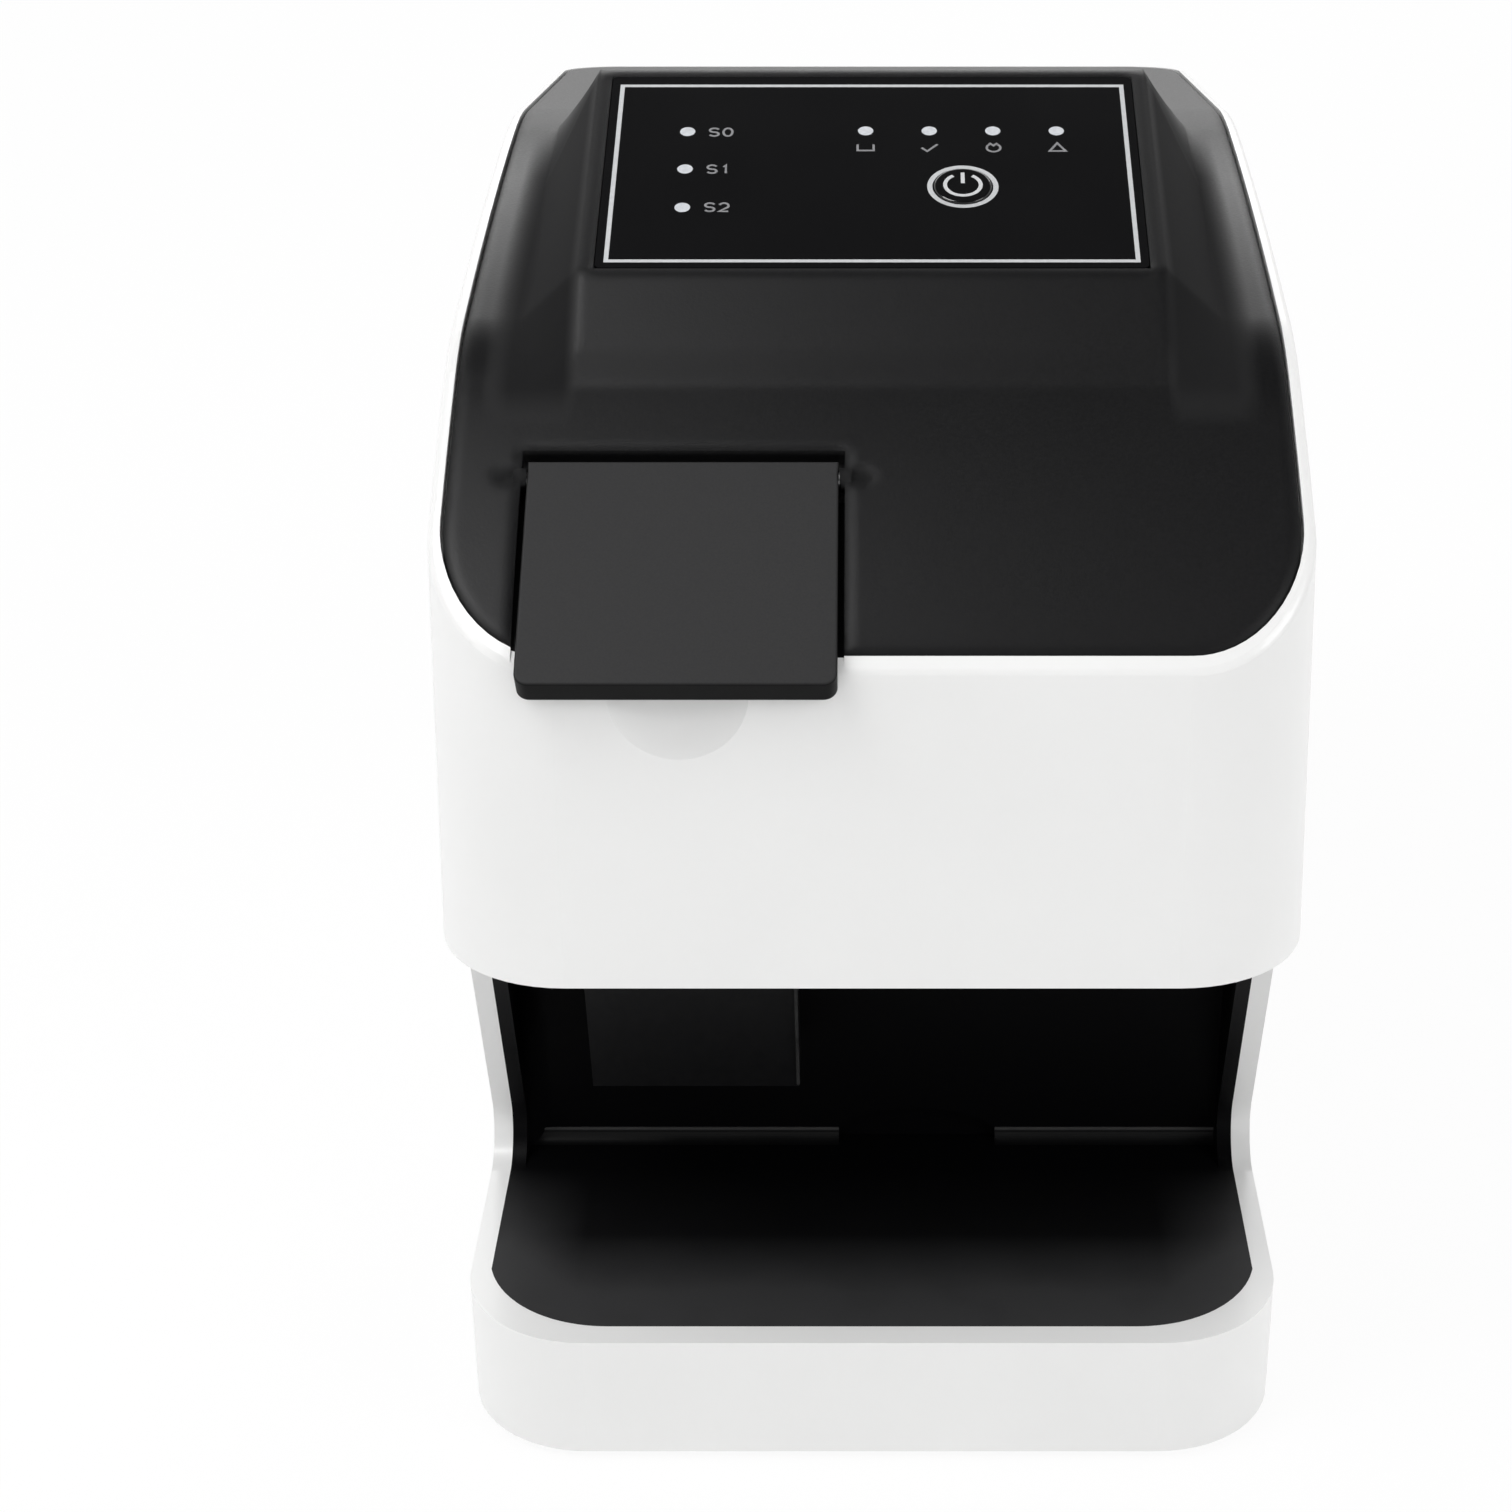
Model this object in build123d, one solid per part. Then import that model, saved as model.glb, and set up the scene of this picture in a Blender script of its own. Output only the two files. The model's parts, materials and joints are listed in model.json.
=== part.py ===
from build123d import *
from math import cos, pi, radians, sin, tan
import os

os.makedirs("parts", exist_ok=True)

# Driving dimensions, in millimetres and degrees.
# While it is modelled, y runs back from the front of the underside of the head and z up from the ground.

# Housing
width = 130.0
housing_depth = 236.4
head_bottom = 85.5
front_corner = 20.0
rear_corner = 14.0
lower_draft = 0.5
upper_draft = 1.2
wall = 3.2
foot_gap = 1.5
rim = 1.8
rim_round = 1.5
top_round = 0.8
joint_gap = 0.4

# Arched top, as tangent arcs through these (y, z) places between a straight nose and a straight tail
arch_nose = (0.0, 134.5)
arch_nose_slope = 43.0
arch_shoulder = (42.0, 165.8)
arch_knee = (54.0, 170.35)
arch_crown = (130.0, 180.7)
arch_fall = (148.0, 180.2)
top_skin = 2.6
top_lip = 3.4

# Raised console and its control panel
panel_front = (55.3, 178.8)
panel_slope = 21.0
frame_width = 80.5
frame_length = 46.8
frame_line = 0.7
frame_groove_depth = 0.4
panel_margin_front = 1.3
panel_margin_rear = 2.1
panel_margin_side = 1.3
panel_thickness = 1.6
panel_corner = 1.0
panel_gap = 0.15
panel_ledge = 3.0
console_half = 44.0
console_foot_half_front = 52.2
console_foot_half_rear = 55.6
console_toe = (35.0, 158.5)
console_bend = (44.0, 169.4)
console_brow = (53.6, 178.15)
console_rear = (101.4, 196.5)
console_roll = (106.7, 196.0)
console_tail_slope = -32.0
brow_round = 5.0

# Power key and the seven lit windows, placed from the middle of the panel's front line
key_place = (14.0, 19.2)
key_radius = 4.5
key_gap = 0.2
key_travel = 0.5
key_proud = 0.3
key_flange = 0.6
key_flange_reach = 0.7
key_rest_gap = 0.1
key_round = 0.4
ring_width = 0.8
switch_half = 3.0
switch_stem = 0.6
switch_rest = 0.1
window_radius = 1.2
size_windows_x = -29.0
window_pitch = 10.0
size_windows_first = 13.8
status_windows_first = -1.0
status_windows_y = 34.0
board_under_panel = 5.2
panel_board_thickness = 1.6
panel_board_inset = 4.5
panel_post_inset = 4.0
panel_post_half = 2.5

# Slot cover on its cross pin
cover_margin = 15.2
cover_width = 45.0
cover_length = 38.1
cover_thickness = 2.2
cover_slope = 34.3
cover_rear_edge = (27.9, 157.1)
cover_lip = 1.9
cover_lip_thickness = 2.0
cover_corner = 2.0
cover_round = 0.4
cover_gap_side = 0.9
cover_gap_rear = 2.0
cover_lift = 0.9
hinge_back = 2.4
hinge_depth = 1.5
hinge_pin_radius = 1.2
hinge_pin_bite = 3.4
hinge_pin_short = 0.3
hinge_bearing_gap = 0.05
hinge_boss_radius = 1.8
hinge_boss_gap = 0.1
barrel_radius = 2.2
barrel_inset = 0.6
groove_radius = 3.2
tub_wall = 1.8
scoop_radius = 10.0
scoop_depth = 2.3
scoop_height = 132.5

# Plate path, a straight channel that leans back as it goes down
path_offset = -1.7
path_top = (16.5, 145.5)
path_tilt = 17.5
slot_width = 36.0
slot_gap = 9.0
slot_wall = 2.0
funnel_foot = -11.0
funnel_waist = -3.0
channel_width = 34.0
channel_gap = 2.8
guide_thickness = 1.2
guide_top = -13.5
guide_front_foot = -49.0
scan_window = 2.0
flap_pivot = (3.6, -8.2)
flap_length = 4.6
flap_thickness = 0.7
flap_barrel = 1.3
flap_side_gap = 0.6
flap_room = 1.6
flap_tip_gap = 0.2
flap_pin_radius = 0.8
flap_pin_bite = 2.5

# Open collection bay
base_top = 22.3
bay_depth = 60.0
bay_corner = 4.0
bay_front = 4.95
bay_front_corner = 20.4
liner_wall = 2.4
neck_lean = 22.0
neck_foot = 60.0
neck_round = 7.0
chute_width = 34.0
chute_depth = 9.8
chute_wall = 1.3
chute_bottom = 42.5
chute_top = -57.0
chute_flange = 3.0
chute_flange_thickness = 1.5
recess_x = 7.7
recess_width = 28.0
recess_height = 6.0
recess_depth = 1.4

# Transport unit
plate_inner = 22.0
plate_thickness = 2.0
plate_front = -11.0
plate_rear = 48.0
plate_shoulder = 28.0
plate_heel = 26.0
plate_top = -8.0
plate_corner = 3.0
plate_foot_reach = 6.0
plate_foot_front = 27.0
plate_foot_thickness = 2.0
upper_rollers = -22.0
lower_rollers = -44.0
scan_line = -33.0
drive_radius = 5.0
drive_shaft_radius = 2.0
pinch_radius = 4.0
pinch_shaft_radius = 1.5
pinch_sleeve_half = 4.2
pinch_sleeve_pitch = 12.0
plate_nip = 1.0
roller_half = 16.8
roller_room = 0.8
bush_wall = 1.5
bush_flange = 1.0
bush_flange_reach = 0.8
shaft_running_gap = 0.05
belt_plane = 27.4
belt_width = 6.0
belt_thickness = 1.3
belt_gap = 0.3
belt_pitch = 2.5
belt_notch = 1.0
pulley_flange = 0.8
pulley_flange_reach = 1.0
pulley_side_gap = 0.2
feed_teeth = 20
motor_teeth = 12
motor_y = 28.0
motor_half = 14.0
motor_chamfer = 3.0
motor_length = 30.0
motor_journal = 11.0
motor_post_circle = 15.5
motor_post_radius = 2.2
motor_face = 37.0
motor_hole = 7.0
collector_y = 16.0
collector_radius = 8.8
collector_wall = 1.2
collector_port = 13.0
collector_turn = 45.0
snout_half = 1.6
scan_slit = 0.8
tube_radius = 8.0
tube_length = 22.0
tube_cap_radius = 6.0
tube_cap = 3.0
eraser_foot = -56.0
eraser_height = 6.0
eraser_gap = 0.6
eraser_lamp = 1.0
eraser_lamps = 6
eraser_pitch = 6.0

# Optics behind the transport unit
tongue_front = 30.0
tray_front = 49.0
tray_rear = 104.0
tray_side_gap = 5.8
tray_width = 89.0
tray_thickness = 2.5
tray_lip = 6.0
tray_rib = 4.0
tray_rib_half_pitch = 11.0
beam_height = 7.2
mirror_y = 86.0
mirror_radius = 11.0
mirror_height = 4.0
spindle_radius = 1.5
spindle_length = 4.0
mirror_hub_radius = 5.0
mirror_hub = 1.2
mirror_base_radius = 13.0
mirror_base = 2.0
mirror_drum_radius = 9.0
mirror_rest = 0.4
laser_near = 26.0
laser_length = 24.0
laser_radius = 4.5
laser_nose = 3.0
laser_nose_radius = 2.5
laser_mount_half = 6.0
laser_mount_inset = 4.0
lens_face = 61.0
lens_bow = 60.0
lens_thickness = 5.0
lens_half = 22.0
lens_height = 10.0
stand_thickness = 2.0
stand_front = 84.0
stand_rear = 122.0
stand_toe = 6.0
stand_foot = 9.0
stand_frame = 7.0

# Base, board and rear
base_thickness = 3.0
base_gap = 0.2
base_vents = 9
base_vent_inset = 96.4
base_vent_pitch = 6.0
base_vent_width = 2.0
base_vent_half = 25.0
foot_radius = 6.5
foot_recess = 1.5
foot_round = 0.6
foot_side_inset = 21.0
foot_front = 26.0
foot_rear_inset = 24.4
boss_inset = 4.4
boss_radius = 4.5
boss_height = 16.0
boss_front = 69.0
screw_radius = 1.4
screw_head_radius = 3.0
screw_head = 1.2
screw_length = 12.0
screw_gap = 0.2
board_side_inset = 15.0
board_length = 86.0
board_thickness = 1.6
board_bottom = 12.0
board_rear_inset = 7.4
standoff_inset = 5.0
standoff_rear_inset = 26.0
standoff_radius = 2.6
sink_half = 16.0
sink_inset = 22.0
sink_length = 32.0
sink_base = 3.0
sink_height = 12.0
sink_fin = 1.2
sink_fins = 9
rear_side_inset = 13.0
rear_low = 8.5
rear_high = 138.0
rear_gap = 0.3
rear_lap = 4.0
rear_lap_thickness = 1.8
rear_vents = 8
rear_vent_first = 72.0
rear_vent_pitch = 7.0
rear_vent_width = 3.0
rear_vent_x = 24.0
rear_vent_half = 18.0
socket_inset = 1.2
network_x = 16.0
network_width = 16.0
network_height = 13.5
network_length = 21.0
network_wall = 2.1
network_depth = 13.0
network_latch_half = 3.0
network_latch = 1.4
inlet_x = -19.0
inlet_width = 10.0
inlet_height = 11.0
inlet_length = 14.0
inlet_bore = 3.1
inlet_depth = 9.0
inlet_pin = 1.0
inlet_pin_short = 0.8

pieces = {}


# Places of the tilted frames

def turned(point, angle):
    """Location at (x, y, z), turned about x so that its own y climbs towards the rear by the angle."""
    return Location(point, (angle, 0, 0))


cover_x = cover_margin + (cover_width - width) / 2
path_x = cover_x + path_offset
panel_spot = turned((0, *panel_front), panel_slope)
cover_cos, cover_sin = cos(radians(cover_slope)), sin(radians(cover_slope))
hinge_y = cover_rear_edge[0] - hinge_back * cover_cos + hinge_depth * cover_sin
hinge_z = cover_rear_edge[1] - hinge_back * cover_sin - hinge_depth * cover_cos
cover_spot = turned((cover_x, hinge_y, hinge_z), cover_slope)
path_spot = turned((path_x, *path_top), path_tilt)

# Levels and half-sizes that several pieces share
base_floor = foot_gap + base_thickness
ceiling_top = head_bottom + liner_wall
board_top = board_bottom + board_thickness
well_half = cover_width / 2 + cover_gap_side
well_floor = cover_thickness - hinge_depth + cover_lift
tub_depth = groove_radius + tub_wall
drive_y = plate_nip / 2 + drive_radius
pinch_y = -plate_nip / 2 - pinch_radius
drive_bush = drive_shaft_radius + shaft_running_gap + bush_wall
pinch_bush = pinch_shaft_radius + shaft_running_gap + bush_wall
plate_outer = plate_inner + plate_thickness
tray_top = scan_line - beam_height
tray_low = tray_top - tray_thickness
key_hole = key_radius + key_gap + ring_width
key_foot = -panel_thickness - key_flange - key_rest_gap
tray_left = wall + tray_side_gap - width / 2 - path_x
tray_right = tray_left + tray_width
foot_x = width / 2 - foot_side_inset
foot_rear = housing_depth - foot_rear_inset
base_vent_first = housing_depth - base_vent_inset
board_half = width / 2 - board_side_inset
board_rear = housing_depth - board_rear_inset
board_front = board_rear - board_length
rear_half = width / 2 - rear_side_inset
socket_rear = housing_depth - socket_inset
through = 300.0


def block(x, y, z):
    """Box between pairs of limits."""
    spans = [sorted(pair) for pair in (x, y, z)]
    middle = [(low + high) / 2 for low, high in spans]
    return Pos(*middle) * Box(*[high - low for low, high in spans])


def rod(radius, x, y, z):
    """Cylinder along x between two limits, through (y, z)."""
    return Pos((x[0] + x[1]) / 2, y, z) * Rot(0, 90, 0) * Cylinder(radius, abs(x[1] - x[0]))


def post(radius, height):
    """Upright cylinder that stands on its own place."""
    return Cylinder(radius, height, align=(Align.CENTER, Align.CENTER, Align.MIN))


def group(shapes):
    """Several separate solids as one piece."""
    return Compound([solid for shape in shapes for solid in shape.solids()])


def side_profile(points, half):
    """Solid with a (y, z) outline, as wide as twice the half."""
    return extrude(Plane.YZ * make_face(Polyline(*points, close=True)), amount=half, both=True)


# Housing forms shared by the hood, its top and what sits inside them

def plan_outline(inset):
    plan = Rectangle(width - 2 * inset, housing_depth - 2 * inset)
    plan = fillet(plan.vertices().group_by(Axis.Y)[0], front_corner - inset)
    plan = fillet(plan.vertices().group_by(Axis.Y)[-1], rear_corner - inset)
    return Pos(0, housing_depth / 2, head_bottom) * plan


def layer(low, high):
    return block((-width, width), (-width, housing_depth + width), (low, high))


def upper_block(inset):
    return extrude(plan_outline(inset), amount=arch_crown[1] + 20 - head_bottom, taper=upper_draft)


def lower_block(inset, low=-5.0):
    return extrude(plan_outline(inset), amount=head_bottom - low, dir=(0, 0, -1), taper=lower_draft)


def under_arch(drop=0.0):
    """Everything below the arched top surface, lowered by a drop."""
    rise = tan(radians(arch_nose_slope))
    nose_y = arch_nose[0] - width / 8
    nose_z = arch_nose[1] - width / 8 * rise
    rear = housing_depth + width
    with BuildPart() as part:
        with BuildSketch(Plane.YZ):
            with BuildLine():
                nose = Line((nose_y, nose_z), arch_nose)
                front = TangentArc(nose @ 1, arch_shoulder, tangent=nose % 1)
                knee = TangentArc(front @ 1, arch_knee, tangent=front % 1)
                back = TangentArc(knee @ 1, arch_crown, tangent=knee % 1)
                fall = TangentArc(back @ 1, arch_fall, tangent=back % 1)
                slope = (fall % 1).Y / (fall % 1).X
                tail_z = arch_fall[1] + (rear - arch_fall[0]) * slope
                Polyline(fall @ 1, (rear, tail_z), (rear, -width), (nose_y, -width), nose @ 0)
            make_face()
        extrude(amount=width, both=True)
    return Pos(0, 0, -drop) * part.part


def border_edges(shape, low):
    """Edges round the arched top of a shape: those that only one top face has."""
    tops = [f for f in shape.faces() if f.center().Z > low and f.normal_at().Z > 0.3]
    edges = [e for f in tops for e in f.edges()]
    return [e for e in edges if sum((e.center() - other.center()).length < 1e-3 for other in edges) == 1]


def neck_cut():
    """The open C in front of the neck: flat rim, rounded throat and a face that leans back."""
    top_y = neck_foot - (head_bottom - base_top) * tan(radians(neck_lean))
    points = [(-width, base_top), (neck_foot, base_top), (top_y, head_bottom), (-width, head_bottom)]
    outline = make_face(Polyline(*points, close=True))
    outline = fillet(outline.vertices().sort_by(Axis.X)[-1], neck_round)
    return extrude(Plane.YZ * outline, amount=width, both=True)


def arch_chord(y):
    """Height of the straight lines between the arch's places, which stay a little under its skin."""
    places = (arch_nose, arch_shoulder, arch_knee, arch_crown, arch_fall)
    (near_y, near_z), (far_y, far_z) = [pair for pair in zip(places, places[1:]) if pair[0][0] <= y][-1]
    return near_z + (y - near_y) * (far_z - near_z) / (far_y - near_y)


def console_section(y, top, foot_half, inset):
    """Cross-section of the console: each side leans from the top's edge out to its foot on the arch."""
    foot = min(top, arch_chord(y))
    rise, run = top - foot, foot_half - console_half
    lean = (rise ** 2 + run ** 2) ** 0.5
    shift_x, shift_z = inset * rise / lean, inset * run / lean
    crest = (console_half - run / 4 - shift_x, top + rise / 4 - shift_z)
    side = [(foot_half - shift_x, head_bottom), (foot_half - shift_x, foot - shift_z), crest]
    mirrored = [(-x, z) for x, z in reversed(side)]
    upright = Plane((0, y, 0), x_dir=(1, 0, 0), z_dir=(0, -1, 0))
    return upright * make_face(Polyline(*side, *mirrored, close=True))


def console_block(inset=0.0):
    """Raised console: its side profile, and sides ruled from the top's edges to their feet on the arch."""
    tail = radians(console_tail_slope)
    length = width / 2
    roll_end = (console_roll[0] + length * cos(tail), console_roll[1] + length * sin(tail))
    climb = (cos(radians(panel_slope)), sin(radians(panel_slope)))
    with BuildPart() as profile:
        with BuildSketch(Plane.YZ):
            with BuildLine():
                places = (console_toe, console_bend, console_brow, console_rear)
                slope = FilletPolyline(*places, radius=brow_round)
                roll = TangentArc(slope @ 1, console_roll, tangent=climb)
                low = head_bottom + wall
                Polyline(roll @ 1, roll_end, (roll_end[0], low), (console_toe[0], low), slope @ 0)
            make_face()
            if inset:
                offset(amount=-inset, kind=Kind.INTERSECTION, mode=Mode.REPLACE)
        extrude(amount=width, both=True)
    sections = []
    start, end = (console_toe[0] - wall, console_toe[1]), (arch_fall[0], console_rear[1])
    for y, top in (start, console_bend, console_brow, console_rear, end):
        share = (y - start[0]) / (end[0] - start[0])
        foot_half = console_foot_half_front + share * (console_foot_half_rear - console_foot_half_front)
        sections.append(console_section(y, top, foot_half, inset))
    return profile.part & loft(sections, ruled=True)


# Hood: one white moulding with the head, the neck sides and the base surround

def boss_places():
    x = width / 2 - wall - boss_inset
    return [(side * x, y) for side in (-1, 1) for y in (boss_front, foot_rear)]


def foot_places():
    return [(side * foot_x, y) for side in (-1, 1) for y in (foot_front, foot_rear)]


def tray_rim():
    """White band at the tray's level that rounds the front corners of its opening."""
    opening = Pos(0, bay_front + bay_depth) * Rectangle(width - 2 * wall, 2 * bay_depth)
    opening = fillet(opening.vertices().group_by(Axis.Y)[0], bay_front_corner)
    band = lower_block(wall) & block((-width, width), (0, bay_depth), (base_top - liner_wall, base_top))
    return band - extrude(opening, amount=through)


def make_hood():
    upper = upper_block(0) & under_arch()
    upper = fillet(border_edges(upper, head_bottom + 20), rim_round)
    hood = upper + lower_block(0, foot_gap)
    hood -= upper_block(wall) + lower_block(wall)
    hood -= upper_block(rim) - under_arch(top_lip)
    hood -= neck_cut()
    hood += tray_rim()
    rear = (housing_depth - rear_corner, housing_depth + wall)
    hood -= block((-rear_half, rear_half), rear, (rear_low, rear_high))
    notch_floor = hinge_depth - cover_thickness - joint_gap
    hood -= cover_spot * block((-well_half, well_half), (-through, 0), (notch_floor, through))
    ball = (scoop_radius ** 2 + scoop_depth ** 2) / (2 * scoop_depth)
    face_y = tan(radians(upper_draft)) * (scoop_height - head_bottom)
    hood -= Pos(cover_x, face_y + scoop_depth - ball, scoop_height) * Sphere(ball)
    for spot in boss_places():
        hood += Pos(*spot, base_floor) * post(boss_radius, boss_height)
        hood -= Pos(*spot, base_floor) * Cylinder(screw_radius, 2 * screw_length)
    return hood


# Black top: arched skin, hollow console, well for the slot cover and its hinge cheeks

def well_space(below, side, rear, front=-2 * cover_length):
    """Space of the slot cover's well, in the cover's own frame."""
    half = well_half + side
    depth = (front, hinge_back + cover_gap_rear + rear)
    return cover_spot * block((-half, half), depth, (-below, cover_length))


def panel_limits(grow=0.0):
    half = frame_width / 2 + panel_margin_side + grow
    return (-half, half), (-panel_margin_front - grow, frame_length + panel_margin_rear + grow)


def make_top_cover():
    outer = upper_block(rim + joint_gap) & under_arch()
    outer = fillet(border_edges(outer, head_bottom + 20), top_round)
    outer -= under_arch(top_lip)
    console = console_block() - under_arch(top_lip)
    inside = upper_block(wall + 1.2) & under_arch(top_skin)
    inside += console_block(top_skin)
    tub = well_space(tub_depth, hinge_pin_bite + 1, 2)
    tub &= upper_block(wall + joint_gap) & under_arch(top_skin / 2)
    top = outer + console - inside + tub
    top -= well_space(well_floor, 0, 0)
    top -= cover_spot * rod(groove_radius, (-well_half, well_half), 0, 0)
    for side in (-1, 1):
        reach = (side * (cover_width / 2 + hinge_boss_gap), side * (well_half + 1))
        top += cover_spot * rod(hinge_boss_radius, reach, 0, 0)
    pin_half = well_half + hinge_pin_bite
    top -= cover_spot * rod(hinge_pin_radius + hinge_bearing_gap, (-pin_half, pin_half), 0, 0)
    half, deep = slot_width / 2, slot_gap / 2
    top -= path_spot * block((-half, half), (-deep, deep), (-cover_length / 2, cover_length / 2))
    top -= panel_spot * block(*panel_limits(panel_gap), (-panel_thickness, 6))
    top -= panel_spot * block(*panel_limits(-panel_ledge), (-8, 1))
    return top


# Slot cover with its hinge barrel, and the steel pin through it

def make_slot_cover():
    half = cover_width / 2
    under = hinge_depth - cover_thickness
    front = hinge_back - cover_length
    plate = block((-half, half), (front, hinge_back), (under, hinge_depth))
    plate += block((-half, half), (front, front + cover_lip_thickness), (under - cover_lip, hinge_depth))
    plate = fillet(plate.edges().filter_by(Axis.Z).group_by(Axis.Y)[0], cover_corner)
    plate = fillet([e for e in plate.edges() if e.center().Z > hinge_depth - 0.1], cover_round)
    reach = (-half + barrel_inset, half - barrel_inset)
    barrel = rod(barrel_radius, reach, 0, 0) & layer(-through, hinge_depth - cover_round)
    return cover_spot * (plate + barrel - rod(hinge_pin_radius, (-half - 1, half + 1), 0, 0))


def make_hinge_pin():
    half = well_half + hinge_pin_bite - hinge_pin_short
    return cover_spot * rod(hinge_pin_radius, (-half, half), 0, 0)


# Control panel, its silver line, the lit windows and the power key

def window_places():
    places = [(size_windows_x, size_windows_first + window_pitch * i) for i in range(3)]
    return places + [(status_windows_first + window_pitch * i, status_windows_y) for i in range(4)]


def frame_groove():
    half = frame_width / 2
    outer = block((-half, half), (0, frame_length), (-frame_groove_depth, 0))
    inner = block((-half + frame_line, half - frame_line), (frame_line, frame_length - frame_line), (-1, 1))
    return outer - inner


def make_control_panel():
    plate = block(*panel_limits(), (-panel_thickness, 0))
    plate = fillet(plate.edges().filter_by(Axis.Z), panel_corner)
    plate -= frame_groove()
    for spot in window_places():
        plate -= Pos(*spot, 0) * Cylinder(window_radius, 10)
    plate -= Pos(*key_place, 0) * Cylinder(key_hole, 10)
    return panel_spot * plate


def make_panel_frame_line():
    return panel_spot * frame_groove()


def make_status_windows():
    window = Pos(0, 0, -board_under_panel) * post(window_radius, board_under_panel)
    return panel_spot * group([Pos(*spot, 0) * window for spot in window_places()])


def make_key_ring():
    tube = Cylinder(key_hole, panel_thickness) - Cylinder(key_radius + key_gap, panel_thickness + 2)
    return panel_spot * Pos(*key_place, -panel_thickness / 2) * tube


def make_power_key():
    cap = Pos(0, 0, key_foot) * post(key_radius, key_proud - key_foot)
    cap = fillet(cap.edges().sort_by(Axis.Z)[-1], key_round)
    cap += Pos(0, 0, key_foot) * post(key_radius + key_flange_reach, key_flange)
    return panel_spot * Pos(*key_place, 0) * cap


def panel_board_corners():
    (left, right), (front, rear) = panel_limits(-panel_board_inset - panel_post_inset)
    return [(x, y) for x in (left, right) for y in (front, rear)]


def make_panel_board():
    levels = (-board_under_panel - panel_board_thickness, -board_under_panel)
    board = block(*panel_limits(-panel_board_inset), levels)
    for spot in panel_board_corners():
        board -= Pos(*spot, -board_under_panel) * Cylinder(screw_radius, 10)
    return panel_spot * board


def make_panel_posts():
    half = panel_post_half
    piece = block((-half, half), (-half, half), (-board_under_panel, -panel_thickness))
    return panel_spot * group([Pos(*spot, 0) * piece for spot in panel_board_corners()])


def make_key_switch():
    half = switch_half
    foot = key_foot - key_travel - switch_rest - switch_stem
    case = block((-half, half), (-half, half), (-board_under_panel, foot))
    stem = Pos(0, 0, foot) * post(half / 2, switch_stem)
    return panel_spot * Pos(*key_place, 0) * (case + stem)


# Collection bay: liner with floor, back, sides and ceiling, and the outlet chute

def make_bay_liner():
    shell = upper_block(wall) + lower_block(wall)
    shell &= block((-width, width), (0, bay_depth + liner_wall), (base_top - liner_wall, ceiling_top))
    room = lower_block(wall + liner_wall) & layer(base_top, head_bottom)
    room -= block((-width, width), (bay_depth, housing_depth), (base_top, head_bottom))
    room = fillet(room.edges().filter_by(Axis.Z, tolerance=2).sort_by(Axis.Y)[-2:], bay_corner)
    liner = shell - room - neck_cut() - tray_rim()
    recess = extrude(Ellipse(recess_width / 2, recess_height), amount=recess_depth, both=True)
    liner -= (Pos(recess_x, bay_depth, base_top) * Rot(90, 0, 0) * recess) & layer(base_top, head_bottom)
    half, deep = chute_width / 2, chute_depth / 2
    chute_hole = path_spot * block((-half, half), (-deep, deep), (-through, 0))
    return liner - (chute_hole & layer(chute_bottom, through))


def make_outlet_chute():
    half, deep = chute_width / 2, chute_depth / 2
    tube = path_spot * block((-half, half), (-deep, deep), (-through, chute_top))
    chute = tube & layer(chute_bottom, through)
    middle_y = path_top[0] + (path_top[1] - ceiling_top) * tan(radians(path_tilt))
    reach = (path_x - half - chute_flange, path_x + half + chute_flange)
    depth = (middle_y - deep - chute_flange, middle_y + deep + chute_flange)
    chute += block(reach, depth, (ceiling_top, ceiling_top + chute_flange_thickness))
    inner, thin = half - chute_wall, deep - chute_wall
    return chute - path_spot * block((-inner, inner), (-thin, thin), (-through, 0))


# Transport unit, built in the path's frame: z runs up the path and y to the rear

def side_plate(side):
    """Upright plate of the transport unit, cut level where it stands on the bay's ceiling."""
    near, far = sorted((side * plate_inner, side * plate_outer))
    points = [
        (plate_front, plate_top), (plate_shoulder, plate_top), (plate_rear, scan_line + 10),
        (plate_rear, scan_line - 12), (plate_heel, eraser_foot - 14), (plate_front, eraser_foot - 14)]
    outline = fillet(make_face(Polyline(*points, close=True)).vertices(), plate_corner)
    plate = Pos(near, 0, 0) * extrude(Plane.YZ * outline, amount=far - near)
    for z in (upper_rollers, lower_rollers):
        plate -= rod(drive_bush, (near - 1, far + 1), drive_y, z)
        plate -= rod(pinch_bush, (near - 1, far + 1), pinch_y, z)
    if side > 0:
        plate -= rod(motor_hole, (near - 1, far + 1), motor_y, scan_line)
    foot_x = sorted((path_x + side * plate_inner, path_x + side * (plate_outer + plate_foot_reach)))
    foot_y = (plate_foot_front, bay_depth - wall)
    foot = block(foot_x, foot_y, (ceiling_top, ceiling_top + plate_foot_thickness))
    return (path_spot * plate & layer(ceiling_top, through)) + foot


def bush_set(bush, shaft_radius, y):
    bushes = []
    bore = shaft_radius + shaft_running_gap
    for z in (upper_rollers, lower_rollers):
        for side in (-1, 1):
            body = rod(bush, (side * plate_inner, side * plate_outer), y, z)
            flange = (side * (plate_inner - bush_flange), side * plate_inner)
            body += rod(bush + bush_flange_reach, flange, y, z)
            bushes.append(body - rod(bore, (-through, through), y, z))
    return path_spot * group(bushes)


def drive_shaft(z):
    return path_spot * rod(drive_shaft_radius, (-plate_outer - 1, belt_plane + belt_width + 2), drive_y, z)


def drive_sleeve(z):
    sleeve = rod(drive_radius, (-roller_half, roller_half), drive_y, z)
    return path_spot * (sleeve - rod(drive_shaft_radius, (-through, through), drive_y, z))


def pinch_shaft(z):
    half = plate_outer + 1.5
    return path_spot * rod(pinch_shaft_radius, (-half, half), pinch_y, z)


def pinch_sleeves(z):
    sleeve = rod(pinch_radius, (-pinch_sleeve_half, pinch_sleeve_half), pinch_y, z)
    sleeve -= rod(pinch_shaft_radius, (-through, through), pinch_y, z)
    return path_spot * group([Pos(i * pinch_sleeve_pitch, 0, 0) * sleeve for i in (-1, 0, 1)])


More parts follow.
